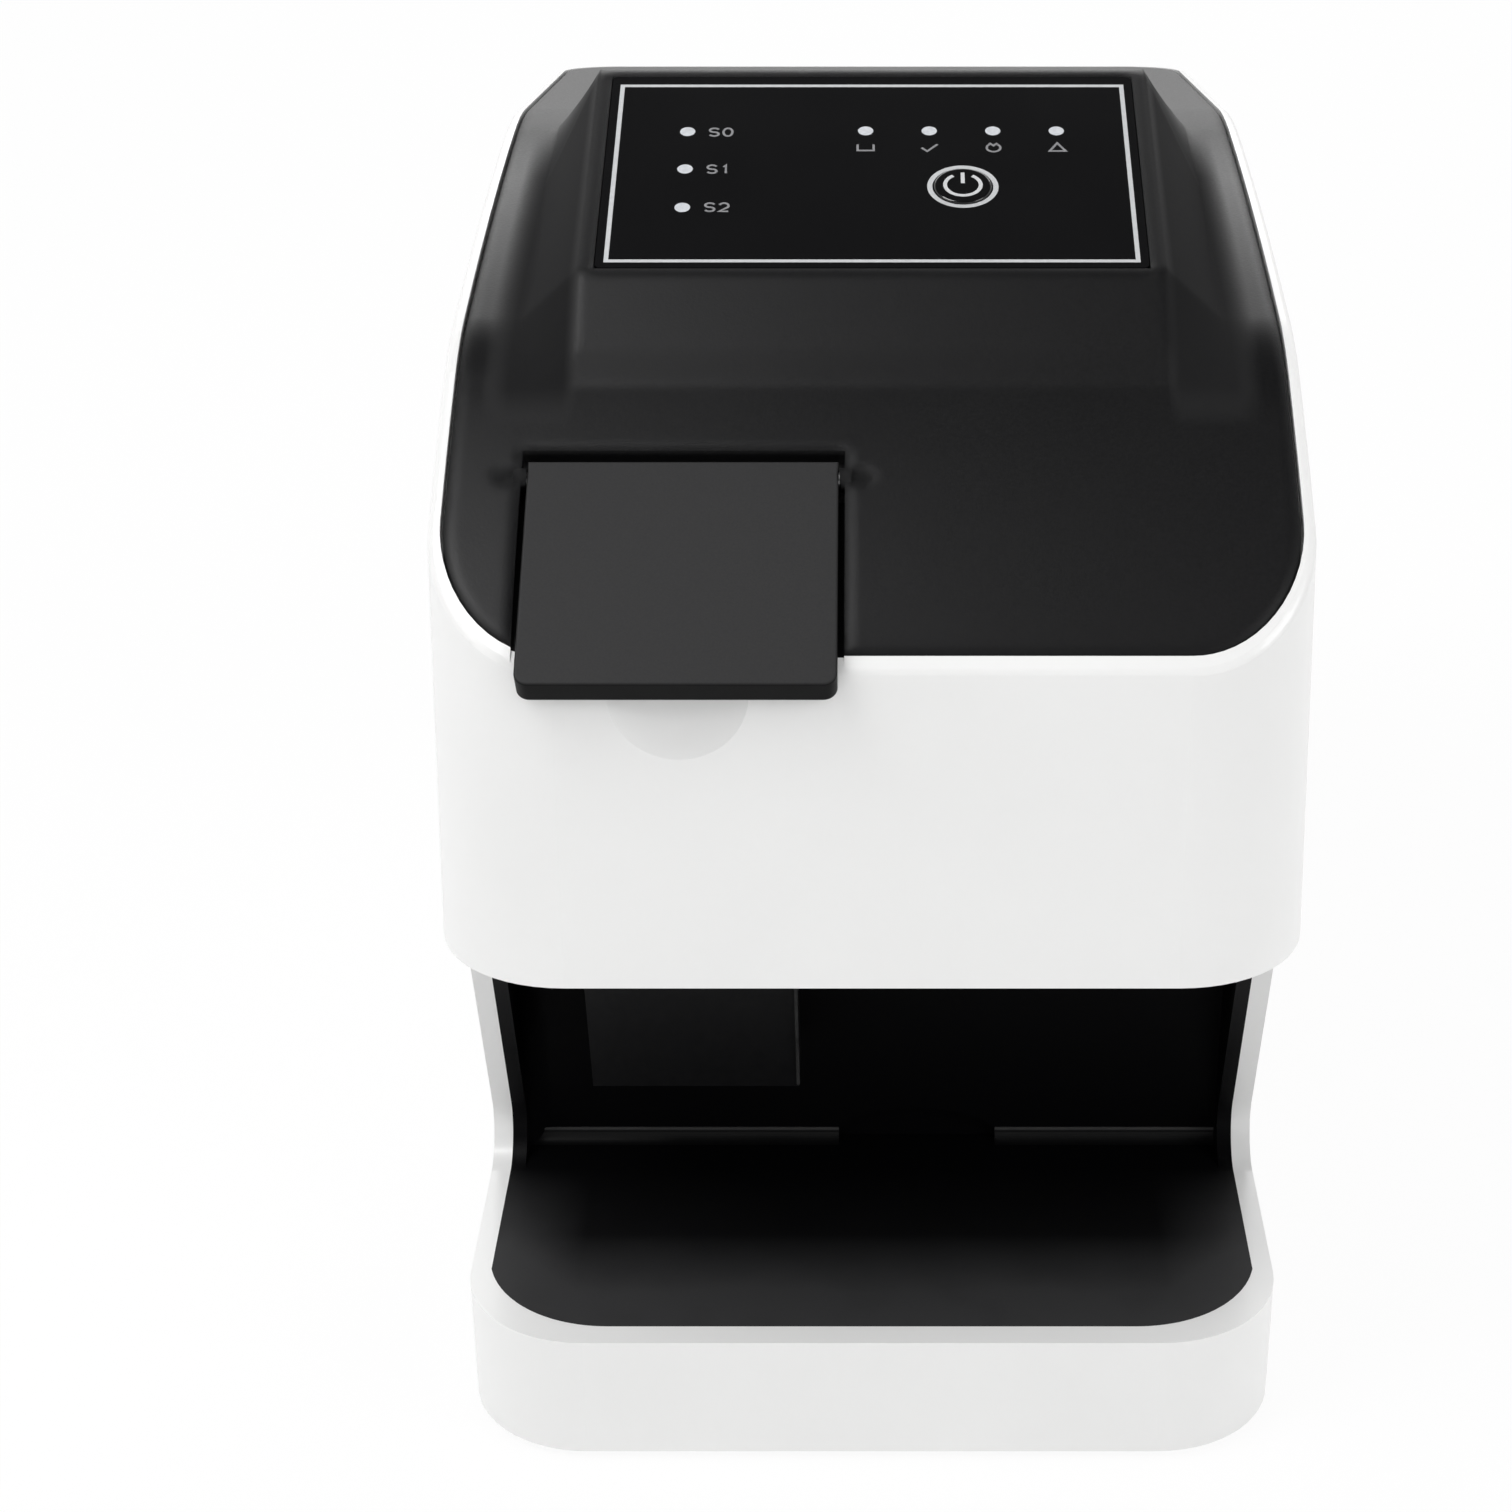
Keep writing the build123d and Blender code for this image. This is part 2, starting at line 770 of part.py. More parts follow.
def guide(side):
    """Guide plate on one side of the channel, with windows for the rollers and the scan line."""
    near, far = side * channel_gap / 2, side * (channel_gap / 2 + guide_thickness)
    low = eraser_foot if side > 0 else guide_front_foot
    plate = block((-plate_inner, plate_inner), (near, far), (low, guide_top))
    window = (-roller_half - roller_room, roller_half + roller_room)
    ends = plate_inner - bush_flange - 0.2
    for z in (upper_rollers, lower_rollers):
        plate -= block(window, (-9, 9), (z - pinch_radius - 0.4, z + pinch_radius + 0.4))
        for end in (-1, 1):
            for bush, y in ((drive_bush, drive_y), (pinch_bush, pinch_y)):
                plate -= rod(bush + bush_flange_reach + 0.3, (end * ends, end * (plate_inner + 1)), y, z)
    plate -= block(window, (-9, 9), (scan_line - scan_window, scan_line + scan_window))
    return path_spot * plate


def flap_space():
    y, z = flap_pivot
    depth = (y - flap_length - flap_tip_gap, y + flap_room)
    return block((-slot_width / 2, slot_width / 2), depth, (funnel_foot - 1, z + flap_room))


def make_slot_funnel():
    half, deep = slot_width / 2, slot_gap / 2
    outer = block((-plate_inner, plate_inner), (-deep - slot_wall, deep + slot_wall), (funnel_foot, 12))
    mouth = Pos(0, 0, funnel_waist) * Rectangle(slot_width, slot_gap)
    throat = Pos(0, 0, funnel_foot) * Rectangle(channel_width + 0.6, channel_gap)
    hole = loft([throat, mouth]) + block((-half, half), (-deep, deep), (funnel_waist, 15))
    pin_half = half + flap_pin_bite + 0.3
    bearing = rod(flap_pin_radius + shaft_running_gap, (-pin_half, pin_half), *flap_pivot)
    return path_spot * (outer - hole - flap_space() - bearing) - well_space(tub_depth, slot_width, slot_width)


def make_light_flap():
    y, z = flap_pivot
    half = slot_width / 2 - flap_side_gap
    blade = block((-half, half), (y - flap_length, y), (z - flap_thickness / 2, z + flap_thickness / 2))
    barrel = rod(flap_barrel, (-half, half), y, z)
    return path_spot * (blade + barrel - rod(flap_pin_radius, (-through, through), y, z))


def make_flap_pin():
    half = slot_width / 2 + flap_pin_bite
    return path_spot * rod(flap_pin_radius, (-half, half), *flap_pivot)


# Toothed belt drive from the stepper motor to the two feed rollers

def pulley_radius(teeth):
    return teeth * belt_pitch / (2 * pi)


def pulley(teeth, y, z):
    """Toothed wheel between two flanges, pressed on a shaft along x."""
    radius = pulley_radius(teeth)
    ring = Circle(radius)
    notch = Pos(radius, 0) * Rot(0, 0, 45) * Rectangle(belt_notch, belt_notch)
    for i in range(teeth):
        ring -= Rot(0, 0, i * 360 / teeth) * notch
    toothed = belt_width + 2 * pulley_side_gap
    flange = extrude(Circle(radius + pulley_flange_reach), amount=pulley_flange)
    wheel = flange + Pos(0, 0, pulley_flange) * extrude(ring, amount=toothed)
    wheel += Pos(0, 0, pulley_flange + toothed) * flange
    wheel -= Cylinder(drive_shaft_radius, 60)
    return path_spot * Pos(belt_plane - pulley_flange - pulley_side_gap, y, z) * Rot(0, 90, 0) * wheel


def make_toothed_belt():
    wheels = [(drive_y, z, feed_teeth) for z in (upper_rollers, lower_rollers)]
    wheels.append((motor_y, scan_line, motor_teeth))

    def wrapped(gap):
        rings = [Pos(y, z) * Circle(pulley_radius(teeth) + gap) for y, z, teeth in wheels]
        return make_hull([ring.edge() for ring in rings])

    loop = wrapped(belt_gap + belt_thickness) - wrapped(belt_gap)
    return path_spot * Pos(belt_plane, 0, 0) * extrude(Plane.YZ * loop, amount=belt_width)


def make_stepper_motor():
    half = motor_half
    case = block((motor_face, motor_face + motor_length), (-half, half), (-half, half))
    case = chamfer(case.edges().filter_by(Axis.X), motor_chamfer)
    bore = (motor_face - 1, motor_face + motor_journal + 1)
    case -= rod(drive_shaft_radius + shaft_running_gap, bore, 0, 0)
    return path_spot * Pos(0, motor_y, scan_line) * Rot(45, 0, 0) * case


def make_motor_shaft():
    reach = (belt_plane - 1.5, motor_face + motor_journal)
    return path_spot * rod(drive_shaft_radius, reach, motor_y, scan_line)


def make_motor_posts():
    posts = []
    for turn in range(4):
        angle = radians(90 * turn)
        y = motor_y + motor_post_circle * cos(angle)
        z = scan_line + motor_post_circle * sin(angle)
        posts.append(rod(motor_post_radius, (plate_outer, motor_face), y, z))
    return path_spot * group(posts)


# Scanner optics: light collector round the scan line, tray with the spinning mirror, lens and laser

def collector_spot():
    return path_spot * Pos(0, collector_y, scan_line) * Rot(-collector_turn, 0, 0)


def make_light_collector():
    body = rod(collector_radius, (-plate_inner, plate_inner), collector_y, scan_line)
    snout = (channel_gap / 2 + 0.2, collector_y)
    body += block((-roller_half, roller_half), snout, (scan_line - snout_half, scan_line + snout_half))
    body = path_spot * body + collector_spot() * post(tube_radius, collector_port)
    inner = plate_inner - collector_wall
    hollow = rod(collector_radius - collector_wall, (-inner, inner), collector_y, scan_line)
    half = roller_half - scan_slit
    hollow += block((-half, half), (-2, collector_y + 20), (scan_line - scan_slit, scan_line + scan_slit))
    return body - path_spot * hollow


def make_photomultiplier():
    tube = post(tube_radius, tube_length) + Pos(0, 0, tube_length) * post(tube_cap_radius, tube_cap)
    return collector_spot() * Pos(0, 0, collector_port) * tube


def make_optics_tray():
    t = tray_thickness
    tray = block((-plate_inner, plate_inner), (tongue_front, tray_front), (tray_low, tray_top))
    tray += block((tray_left, tray_right), (tray_front, tray_rear), (tray_low, tray_top + tray_lip))
    tray -= block((tray_left + t, tray_right - t), (tray_front - 1, tray_rear - t), (tray_top, tray_top + 20))
    for x in (-tray_rib_half_pitch, tray_rib_half_pitch):
        tray += block((x - t / 2, x + t / 2), (tray_front, tray_rear), (tray_low - tray_rib, tray_low))
    return path_spot * tray


def make_polygon_motor():
    drum_height = beam_height - mirror_height / 2 - mirror_base - mirror_rest
    motor = post(mirror_base_radius, mirror_base)
    motor += Pos(0, 0, mirror_base) * post(mirror_drum_radius, drum_height)
    motor -= Pos(0, 0, mirror_base) * Cylinder(spindle_radius + shaft_running_gap, 10) & layer(1, 40)
    return path_spot * Pos(0, mirror_y, tray_top) * motor


def make_polygon_mirror():
    low = beam_height - mirror_height / 2
    mirror = Pos(0, 0, low) * extrude(RegularPolygon(mirror_radius, 6), amount=mirror_height)
    mirror += Pos(0, 0, low + mirror_height) * post(mirror_hub_radius, mirror_hub)
    mirror += Pos(0, 0, low - spindle_length) * post(spindle_radius, spindle_length)
    return path_spot * Pos(0, mirror_y, tray_top) * mirror


def make_laser_module():
    far = laser_near + laser_length
    module = rod(laser_radius, (laser_near, far), 0, beam_height)
    module += rod(laser_nose_radius, (laser_near - laser_nose, laser_near), 0, beam_height)
    reach = (laser_near + laser_mount_inset, far - laser_mount_inset)
    module += block(reach, (-laser_mount_half, laser_mount_half), (0, beam_height))
    return path_spot * Pos(0, mirror_y, tray_top) * module


def make_scan_lens():
    bow = Circle(lens_bow) - Circle(lens_bow - lens_thickness)
    bow &= Pos(0, -lens_bow) * Rectangle(2 * lens_half, 30)
    return path_spot * Pos(0, lens_face + lens_bow, tray_top) * extrude(bow, amount=lens_height)


def make_eraser_bar():
    face = -channel_gap / 2 - eraser_gap
    bar = block((-plate_inner, plate_inner), (plate_front, face), (eraser_foot, eraser_foot + eraser_height))
    for i in range(eraser_lamps):
        x = (i - (eraser_lamps - 1) / 2) * eraser_pitch
        bar += Pos(x, face, eraser_foot + eraser_height / 2) * Sphere(eraser_lamp)
    return path_spot * bar


# Stands under the optics tray

def tray_underside(y):
    """Height of the tray's underside above a place behind the head's front."""
    start_y = path_top[0] - tray_low * sin(radians(path_tilt))
    start_z = path_top[1] + tray_low * cos(radians(path_tilt))
    return start_z + (y - start_y) * tan(radians(path_tilt))


def stand(x, inward):
    front, rear, frame = stand_front, stand_rear, stand_frame
    toe = front - stand_toe
    top = tray_underside(front)
    outline = [(toe, base_floor), (rear, base_floor), (rear, tray_underside(rear)), (front, top)]
    plate = side_profile(outline, stand_thickness / 2)
    high = top - 3 * frame
    hole = [(toe + frame, 3 * frame), (rear - frame, 3 * frame), (rear - frame, high), (front + frame, high)]
    foot = block((0, inward * stand_foot), (toe, rear), (base_floor, base_floor + stand_thickness))
    return Pos(x, 0, 0) * (plate - side_profile(hole, 10) + foot)


# Base plate with feet, main board and rear cover

def make_base_plate():
    plate = lower_block(wall + base_gap) & layer(foot_gap, base_floor)
    for spot in foot_places():
        plate -= Pos(*spot, 0) * post(foot_radius, foot_gap + foot_recess)
    for spot in boss_places():
        plate -= Pos(*spot, 0) * post(screw_radius + screw_gap, base_floor + 1)
        plate -= Pos(*spot, 0) * post(screw_head_radius + screw_gap, foot_gap + screw_head)
    for i in range(base_vents):
        y = base_vent_first + base_vent_pitch * i
        plate -= block((-base_vent_half, base_vent_half), (y, y + base_vent_width), (0, 10))
    return plate


def make_rubber_feet():
    foot = post(foot_radius, foot_gap + foot_recess)
    foot = fillet(foot.edges().sort_by(Axis.Z)[0], foot_round)
    return group([Pos(*spot, 0) * foot for spot in foot_places()])


def make_base_screws():
    screw = post(screw_head_radius, screw_head) + post(screw_radius, screw_length)
    return group([Pos(*spot, foot_gap) * screw for spot in boss_places()])


def make_rear_cover():
    back = (housing_depth - 30, housing_depth + 5)
    outside = upper_block(rear_gap) + lower_block(rear_gap, foot_gap)
    middle = upper_block(wall) + lower_block(wall, foot_gap)
    inside = upper_block(wall + rear_lap_thickness) + lower_block(wall + rear_lap_thickness, foot_gap)
    half = rear_half - rear_gap
    cover = (outside - middle) & block((-half, half), back, (rear_low + rear_gap, rear_high - rear_gap))
    half = rear_half + rear_lap
    cover += (middle - inside) & block((-half, half), back, (base_floor, rear_high + rear_lap))
    for i in range(rear_vents):
        low = rear_vent_first + rear_vent_pitch * i
        for x in (-rear_vent_x, rear_vent_x):
            cover -= block((x - rear_vent_half, x + rear_vent_half), back, (low, low + rear_vent_width))
    for limits in (network_limits(rear_gap), inlet_limits(rear_gap)):
        cover -= block(limits[0], back, limits[2])
    return cover


def network_limits(gap=0.0):
    half = network_width / 2 + gap
    depth = (socket_rear - network_length, socket_rear)
    return (network_x - half, network_x + half), depth, (board_top - gap, board_top + network_height + gap)


def inlet_limits(gap=0.0):
    half = inlet_width / 2 + gap
    depth = (socket_rear - inlet_length, socket_rear)
    return (inlet_x - half, inlet_x + half), depth, (board_top - gap, board_top + inlet_height + gap)


def make_network_socket():
    x, y, z = network_limits()
    hole = (socket_rear - network_depth, socket_rear + 1)
    low = z[0] + network_wall
    case = block(x, y, z)
    case -= block((x[0] + network_wall, x[1] - network_wall), hole, (low, z[1] - network_wall))
    reach = (network_x - network_latch_half, network_x + network_latch_half)
    return case - block(reach, hole, (low - network_latch, low + 0.1))


def make_power_inlet():
    x, y, z = inlet_limits()
    face = Pos(inlet_x, socket_rear, (z[0] + z[1]) / 2) * Rot(90, 0, 0)
    pin = Pos(0, 0, inlet_pin_short) * post(inlet_pin, inlet_depth - inlet_pin_short)
    return block(x, y, z) - face * Cylinder(inlet_bore, 2 * inlet_depth) + face * pin


def standoff_places():
    x = board_half - standoff_inset
    rows = (board_front + standoff_inset, board_rear - standoff_rear_inset)
    return [(side * x, y) for side in (-1, 1) for y in rows]


def make_main_board():
    board = block((-board_half, board_half), (board_front, board_rear), (board_bottom, board_top))
    for spot in standoff_places():
        board -= Pos(*spot, board_bottom) * Cylinder(screw_radius, 10)
    return board


def make_board_standoffs():
    piece = post(standoff_radius, board_bottom - base_floor)
    return group([Pos(*spot, base_floor) * piece for spot in standoff_places()])


def make_heat_sink():
    depth = (board_front + sink_inset, board_front + sink_inset + sink_length)
    sink = block((-sink_half, sink_half), depth, (board_top, board_top + sink_base))
    for i in range(sink_fins):
        x = -sink_half + i * (2 * sink_half - sink_fin) / (sink_fins - 1)
        sink += block((x, x + sink_fin), depth, (board_top + sink_base, board_top + sink_height))
    return sink


pieces["hood"] = make_hood()
pieces["top_cover"] = make_top_cover()
pieces["slot_cover"] = make_slot_cover()
pieces["slot_hinge_pin"] = make_hinge_pin()
pieces["control_panel"] = make_control_panel()
pieces["panel_frame_line"] = make_panel_frame_line()
pieces["status_windows"] = make_status_windows()
pieces["key_ring"] = make_key_ring()
pieces["power_key"] = make_power_key()
pieces["panel_board"] = make_panel_board()
pieces["panel_posts"] = make_panel_posts()
pieces["key_switch"] = make_key_switch()
pieces["bay_liner"] = make_bay_liner()
pieces["outlet_chute"] = make_outlet_chute()
pieces["slot_funnel"] = make_slot_funnel()
pieces["light_flap"] = make_light_flap()
pieces["flap_pin"] = make_flap_pin()
pieces["left_side_plate"] = side_plate(-1)
pieces["right_side_plate"] = side_plate(1)
pieces["front_guide"] = guide(-1)
pieces["rear_guide"] = guide(1)
pieces["drive_bushes"] = bush_set(drive_bush, drive_shaft_radius, drive_y)
pieces["pinch_bushes"] = bush_set(pinch_bush, pinch_shaft_radius, pinch_y)
for level, z in (("upper", upper_rollers), ("lower", lower_rollers)):
    pieces[level + "_drive_shaft"] = drive_shaft(z)
    pieces[level + "_drive_sleeve"] = drive_sleeve(z)
    pieces[level + "_pulley"] = pulley(feed_teeth, drive_y, z)
    pieces[level + "_pinch_shaft"] = pinch_shaft(z)
    pieces[level + "_pinch_sleeves"] = pinch_sleeves(z)
pieces["toothed_belt"] = make_toothed_belt()
pieces["motor_pulley"] = pulley(motor_teeth, motor_y, scan_line)
pieces["motor_shaft"] = make_motor_shaft()
pieces["stepper_motor"] = make_stepper_motor()
pieces["motor_posts"] = make_motor_posts()
pieces["light_collector"] = make_light_collector()
pieces["photomultiplier"] = make_photomultiplier()
pieces["optics_tray"] = make_optics_tray()
pieces["polygon_motor"] = make_polygon_motor()
pieces["polygon_mirror"] = make_polygon_mirror()
pieces["laser_module"] = make_laser_module()
pieces["scan_lens"] = make_scan_lens()
pieces["eraser_bar"] = make_eraser_bar()
pieces["left_stand"] = stand(path_x + tray_left + stand_thickness / 2, 1)
pieces["right_stand"] = stand(path_x + tray_right - stand_thickness / 2, -1)
pieces["base_plate"] = make_base_plate()
pieces["rubber_feet"] = make_rubber_feet()
pieces["base_screws"] = make_base_screws()
pieces["rear_cover"] = make_rear_cover()
pieces["main_board"] = make_main_board()
pieces["board_standoffs"] = make_board_standoffs()
pieces["heat_sink"] = make_heat_sink()
pieces["network_socket"] = make_network_socket()
pieces["power_inlet"] = make_power_inlet()

# The origin goes to the middle of the footprint, on the ground
front_y = pieces["slot_cover"].bounding_box().min.Y
rear_y = pieces["hood"].bounding_box().max.Y
for name, solid in pieces.items():
    export_step(Pos(0, -(front_y + rear_y) / 2, 0) * solid, f"parts/{name}.step")
print("middle of the footprint behind the head's front:", round((front_y + rear_y) / 2, 4))
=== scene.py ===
import json
import bpy
import numpy as np
from math import cos, pi, radians, sin
from mathutils import Matrix, Vector


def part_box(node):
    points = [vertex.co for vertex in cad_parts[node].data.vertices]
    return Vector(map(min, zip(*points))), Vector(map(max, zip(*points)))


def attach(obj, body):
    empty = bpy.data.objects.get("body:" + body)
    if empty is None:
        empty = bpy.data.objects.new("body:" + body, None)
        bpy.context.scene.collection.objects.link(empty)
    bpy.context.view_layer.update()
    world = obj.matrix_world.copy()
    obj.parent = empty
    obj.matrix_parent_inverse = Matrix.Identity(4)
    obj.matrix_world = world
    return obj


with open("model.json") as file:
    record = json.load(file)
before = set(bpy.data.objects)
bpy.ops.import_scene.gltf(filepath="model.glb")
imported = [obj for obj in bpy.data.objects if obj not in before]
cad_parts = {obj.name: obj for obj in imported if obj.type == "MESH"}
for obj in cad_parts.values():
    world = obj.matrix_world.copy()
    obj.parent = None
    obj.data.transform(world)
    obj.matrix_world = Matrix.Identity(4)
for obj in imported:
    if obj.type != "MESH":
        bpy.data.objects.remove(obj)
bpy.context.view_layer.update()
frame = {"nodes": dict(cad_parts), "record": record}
nodes = frame["nodes"]
mm = 0.001  # a millimetre in metres


# camera: the photograph's own view, fitted to the object's edges
view = {
    "place": (0.0, -512.3, 307.6),  # mm, in the part's frame
    "pitch": 25.0,  # degrees looking down
    "focal": 3094.0,  # pixels of the photograph
    "centre": (872.0, 756.0),  # pixel that the lens axis meets
    "image": 1512.0,  # pixels across
    "sensor": 36.0,  # mm
    "clip": (0.01, 20.0),  # metres
}


def makeCamera():
    # the lens is the focal length's share of the image times the sensor, and the shift is how far the
    # lens axis lies from the image's middle, as a share of the image
    data = bpy.data.cameras.new("photoView")
    data.sensor_fit = "HORIZONTAL"
    data.sensor_width = view["sensor"]
    data.lens = view["focal"] / view["image"] * view["sensor"]
    half = view["image"] / 2
    data.shift_x = (half - view["centre"][0]) / view["image"]
    data.shift_y = (view["centre"][1] - half) / view["image"]
    data.clip_start, data.clip_end = view["clip"]
    camera = bpy.data.objects.new("photoView", data)
    bpy.context.scene.collection.objects.link(camera)
    turn = Matrix.Rotation(radians(90 - view["pitch"]), 4, "X")
    camera.matrix_world = Matrix.Translation(Vector(view["place"]) * mm) @ turn
    bpy.context.scene.camera = camera


makeCamera()


# shader maths: a wire is one socket of a node tree, and + - * / < > on wires and numbers add Math nodes
class Wire:
    def __init__(self, tree, socket=None):
        self.tree = tree
        self.socket = socket

    def add(self, kind, settings=None, inputs=None, out=0):  # any node: settings first, then its sockets
        node = self.tree.nodes.new(kind)
        for name, value in (settings or {}).items():
            if name == "stops":
                ramp = node.color_ramp.elements
                while len(ramp) < len(value):
                    ramp.new(0.5)  # its place is set next
                for stop, (place, shade) in zip(ramp, value):
                    stop.position = place
                    stop.color = (*shade, 1.0)
            else:
                setattr(node, name, value)
        for name, value in (inputs or {}).items():
            if isinstance(value, Wire):
                self.tree.links.new(value.socket, node.inputs[name])
            else:
                node.inputs[name].default_value = value
        return Wire(self.tree, node.outputs[out] if len(node.outputs) else None)

    def sums(self, operation, first, second=0.0, clamp=False):  # one Math node
        settings = {"operation": operation, "use_clamp": clamp}
        return self.add("ShaderNodeMath", settings, {0: first, 1: second})

    def __add__(self, other):
        return self.sums("ADD", self, other)

    def __sub__(self, other):
        return self.sums("SUBTRACT", self, other)

    def __rsub__(self, other):
        return self.sums("SUBTRACT", other, self)

    def __mul__(self, other):
        return self.sums("MULTIPLY", self, other)

    def __truediv__(self, other):
        return self.sums("DIVIDE", self, other)

    def __rtruediv__(self, other):
        return self.sums("DIVIDE", other, self)

    def __lt__(self, other):
        return self.sums("LESS_THAN", self, other)

    def __gt__(self, other):  # also a number < a wire
        return self.sums("GREATER_THAN", self, other)

    __radd__ = __add__
    __rmul__ = __mul__

    def clipped(self):  # kept from 0 to 1
        return self.sums("ADD", self, 0.0, clamp=True)

    def unsigned(self):  # without its sign
        return self.sums("ABSOLUTE", self)

    def past(self, start, fade):  # 0 up to start, then rising to 1 over the fade
        return ((self - start) / fade).clipped()

    def around(self, middle, stray):  # from half the stray under the middle to half above it
        return middle + self * stray - stray / 2

    def blended(self, other, share):  # this wire's share, and the other's for the rest
        return self * share + other * (1.0 - share)

    def along(self, axis):  # one object coordinate, in metres
        spot = self.add("ShaderNodeTexCoord", out="Object")
        return self.add("ShaderNodeSeparateXYZ", None, {"Vector": spot}, axis)

    def place(self, stretch=(1.0, 1.0, 1.0)):  # object coordinates, scaled along each axis
        spot = self.add("ShaderNodeTexCoord", out="Object")
        return self.add("ShaderNodeMapping", None, {"Vector": spot, "Scale": stretch})

    def noise(self, size, detail=2.0, rough=0.5, stretch=(1.0, 1.0, 1.0)):  # size of a spot in metres
        return self.add("ShaderNodeTexNoise", None, {
            "Vector": self.place(stretch), "Scale": 1.0 / size, "Detail": detail, "Roughness": rough})

    def cells(self, size, feature="F1", out="Distance"):  # size of a cell in metres
        return self.add("ShaderNodeTexVoronoi", {"feature": feature}, {
            "Vector": self.place(), "Scale": 1.0 / size}, out)

    def ramp(self, stops):  # a colour by this wire, through stops of a place and a shade
        return self.add("ShaderNodeValToRGB", {"stops": stops}, {"Fac": self})

    def tint(self, dark, pale):  # a colour between two, by this wire from 0 to 1
        dark, pale = [shade if isinstance(shade, Wire) else (*shade, 1.0) for shade in (dark, pale)]
        return self.add("ShaderNodeMix", {"data_type": "RGBA"}, {0: self, 6: dark, 7: pale}, 2)

    def bump(self, depth, strength=1.0, below=None):  # relief of this wire, its depth in metres
        inputs = {"Height": self, "Distance": depth, "Strength": strength}
        if below is not None:
            inputs["Normal"] = below
        return self.add("ShaderNodeBump", None, inputs)


def finish(name, look, **fixed):
    # look(flow) gives the sockets that change over the surface, and fixed holds the even ones
    material = bpy.data.materials.new(name)
    material.use_nodes = True
    tree = material.node_tree
    tree.nodes.clear()
    flow = Wire(tree)
    inputs = {key.replace("_", " "): value for key, value in fixed.items()}
    inputs.update(look(flow))
    shader = flow.add("ShaderNodeBsdfPrincipled", None, inputs)
    flow.add("ShaderNodeOutputMaterial", None, {"Surface": shader})
    return material


# finishes. A look holds its pale and dark colour, its roughness and how far that strays, the sizes of
# its patterns in metres, and the depth of its relief in metres with the strength of that
shellLook = {
    "pale": (0.84, 0.84, 0.835), "dark": (0.80, 0.80, 0.795), "mottle": 0.03,
    "rough": 0.30, "stray": 0.06, "peel": 0.0022, "depth": 0.00001, "strength": 0.5,
}


def shellPlastic(flow):  # a wide mottle sets colour and roughness, a fine orange peel is the relief
    mottle = flow.noise(shellLook["mottle"], detail=3.0)
    peel = flow.noise(shellLook["peel"])
    return {
        "Base Color": mottle.tint(shellLook["dark"], shellLook["pale"]),
        "Roughness": mottle.around(shellLook["rough"], shellLook["stray"]),
        "Normal": peel.bump(shellLook["depth"], shellLook["strength"]),
    }


mould = {"detail": 3.0, "grit": 0.6, "stray": 0.16, "strength": 0.8}  # grain that all black mouldings share


def mouldGrain(flow, size):  # noise with spots of that size, with the mouldings' detail
    return flow.noise(size, mould["detail"], mould["grit"])


topLook = {
    "pale": (0.009, 0.009, 0.0095), "dark": (0.003, 0.003, 0.0035),
    "grain": 0.00045, "cloud": 0.025, "grainShare": 0.7, "depth": 0.00002,
    "rough": (0.42, 0.92, 0.34),  # satin middle, matt console sides, satin shoulders
    # where each zone starts and its fade: from the middle outwards, and from the console's toe to its tail
    "sides": (0.0435, 0.002), "shoulders": (0.0535, 0.004), "toe": (-0.083, 0.006), "tail": (0.012, 0.022),
    "edge": 0.003,  # radius that light sees on the console's edges
    "edgeRays": 6,
}


def blackTop(flow):
    # roughness is the middle's, plus what the sides and the shoulders differ by, each past its own start,
    # and all of that only between the console's toe and its tail
    grain = mouldGrain(flow, topLook["grain"])
    cloud = flow.noise(topLook["cloud"])
    across, back = flow.along("X").unsigned(), flow.along("Y")
    side, shoulder = across.past(*topLook["sides"]), across.past(*topLook["shoulders"])
    toe = back.past(*topLook["toe"])
    tail = ((topLook["tail"][0] - back) / topLook["tail"][1]).clipped()
    middle, matt, satin = topLook["rough"]
    rough = middle + toe * tail * (side * (matt - middle) + shoulder * (satin - matt))
    rounded = flow.add("ShaderNodeBevel", {"samples": topLook["edgeRays"]}, {"Radius": topLook["edge"]})
    return {
        "Base Color": grain.blended(cloud, topLook["grainShare"]).tint(topLook["dark"], topLook["pale"]),
        "Roughness": grain.around(rough, mould["stray"]),
        "Normal": grain.bump(topLook["depth"], mould["strength"], rounded),
    }


coverLook = {
    # the top face's pale and dark grey is a painted sheen over the grain, and the edge colour is painted
    # shade
    "pale": (0.052, 0.052, 0.053), "dark": (0.036, 0.036, 0.037), "edge": (0.002, 0.002, 0.002),
    "slope": 34.3,  # degrees
    "top": 0.1794, "fade": 0.0004,  # height of the top face, square to the slope
    "rough": 0.44, "grain": 0.00030, "depth": 0.000012,
}


def blackCover(flow):
    # satin top face, grey as a painted sheen, and edges darkened as painted shade: a point's height square
    # to the slope is z times the slope's cosine less y times its sine
    grain = mouldGrain(flow, coverLook["grain"])
    slope = radians(coverLook["slope"])
    height = flow.along("Z") * cos(slope) - flow.along("Y") * sin(slope)
    face = height.past(coverLook["top"], coverLook["fade"])
    shade = grain.tint(coverLook["dark"], coverLook["pale"])
    return {
        # painted shade on the edges, painted sheen on the top face
        "Base Color": face.tint(coverLook["edge"], shade),
        "Roughness": grain.around(coverLook["rough"], mould["stray"]),
        "Normal": grain.bump(coverLook["depth"], mould["strength"]),
    }


bayLook = {
    "pale": (0.0022, 0.0022, 0.0026), "dark": (0.0012, 0.0012, 0.0015),
    "rough": 0.46, "grain": 0.0005, "depth": 0.000012,
    "paintedLight": (0.036, 0.036, 0.037),  # painted light, grey where light falls on the tray
    "front": (0.086, 0.018), "side": (0.047, 0.012), "rear": (0.066, 0.020),  # where the painted light starts, its fade
    "rearPaintedLight": (0.1, 0.7),  # in the middle, and what the sides add
    "cloud": 0.012, "patches": (0.75, 0.5),  # least painted light in a patch, and what the cloud adds
}


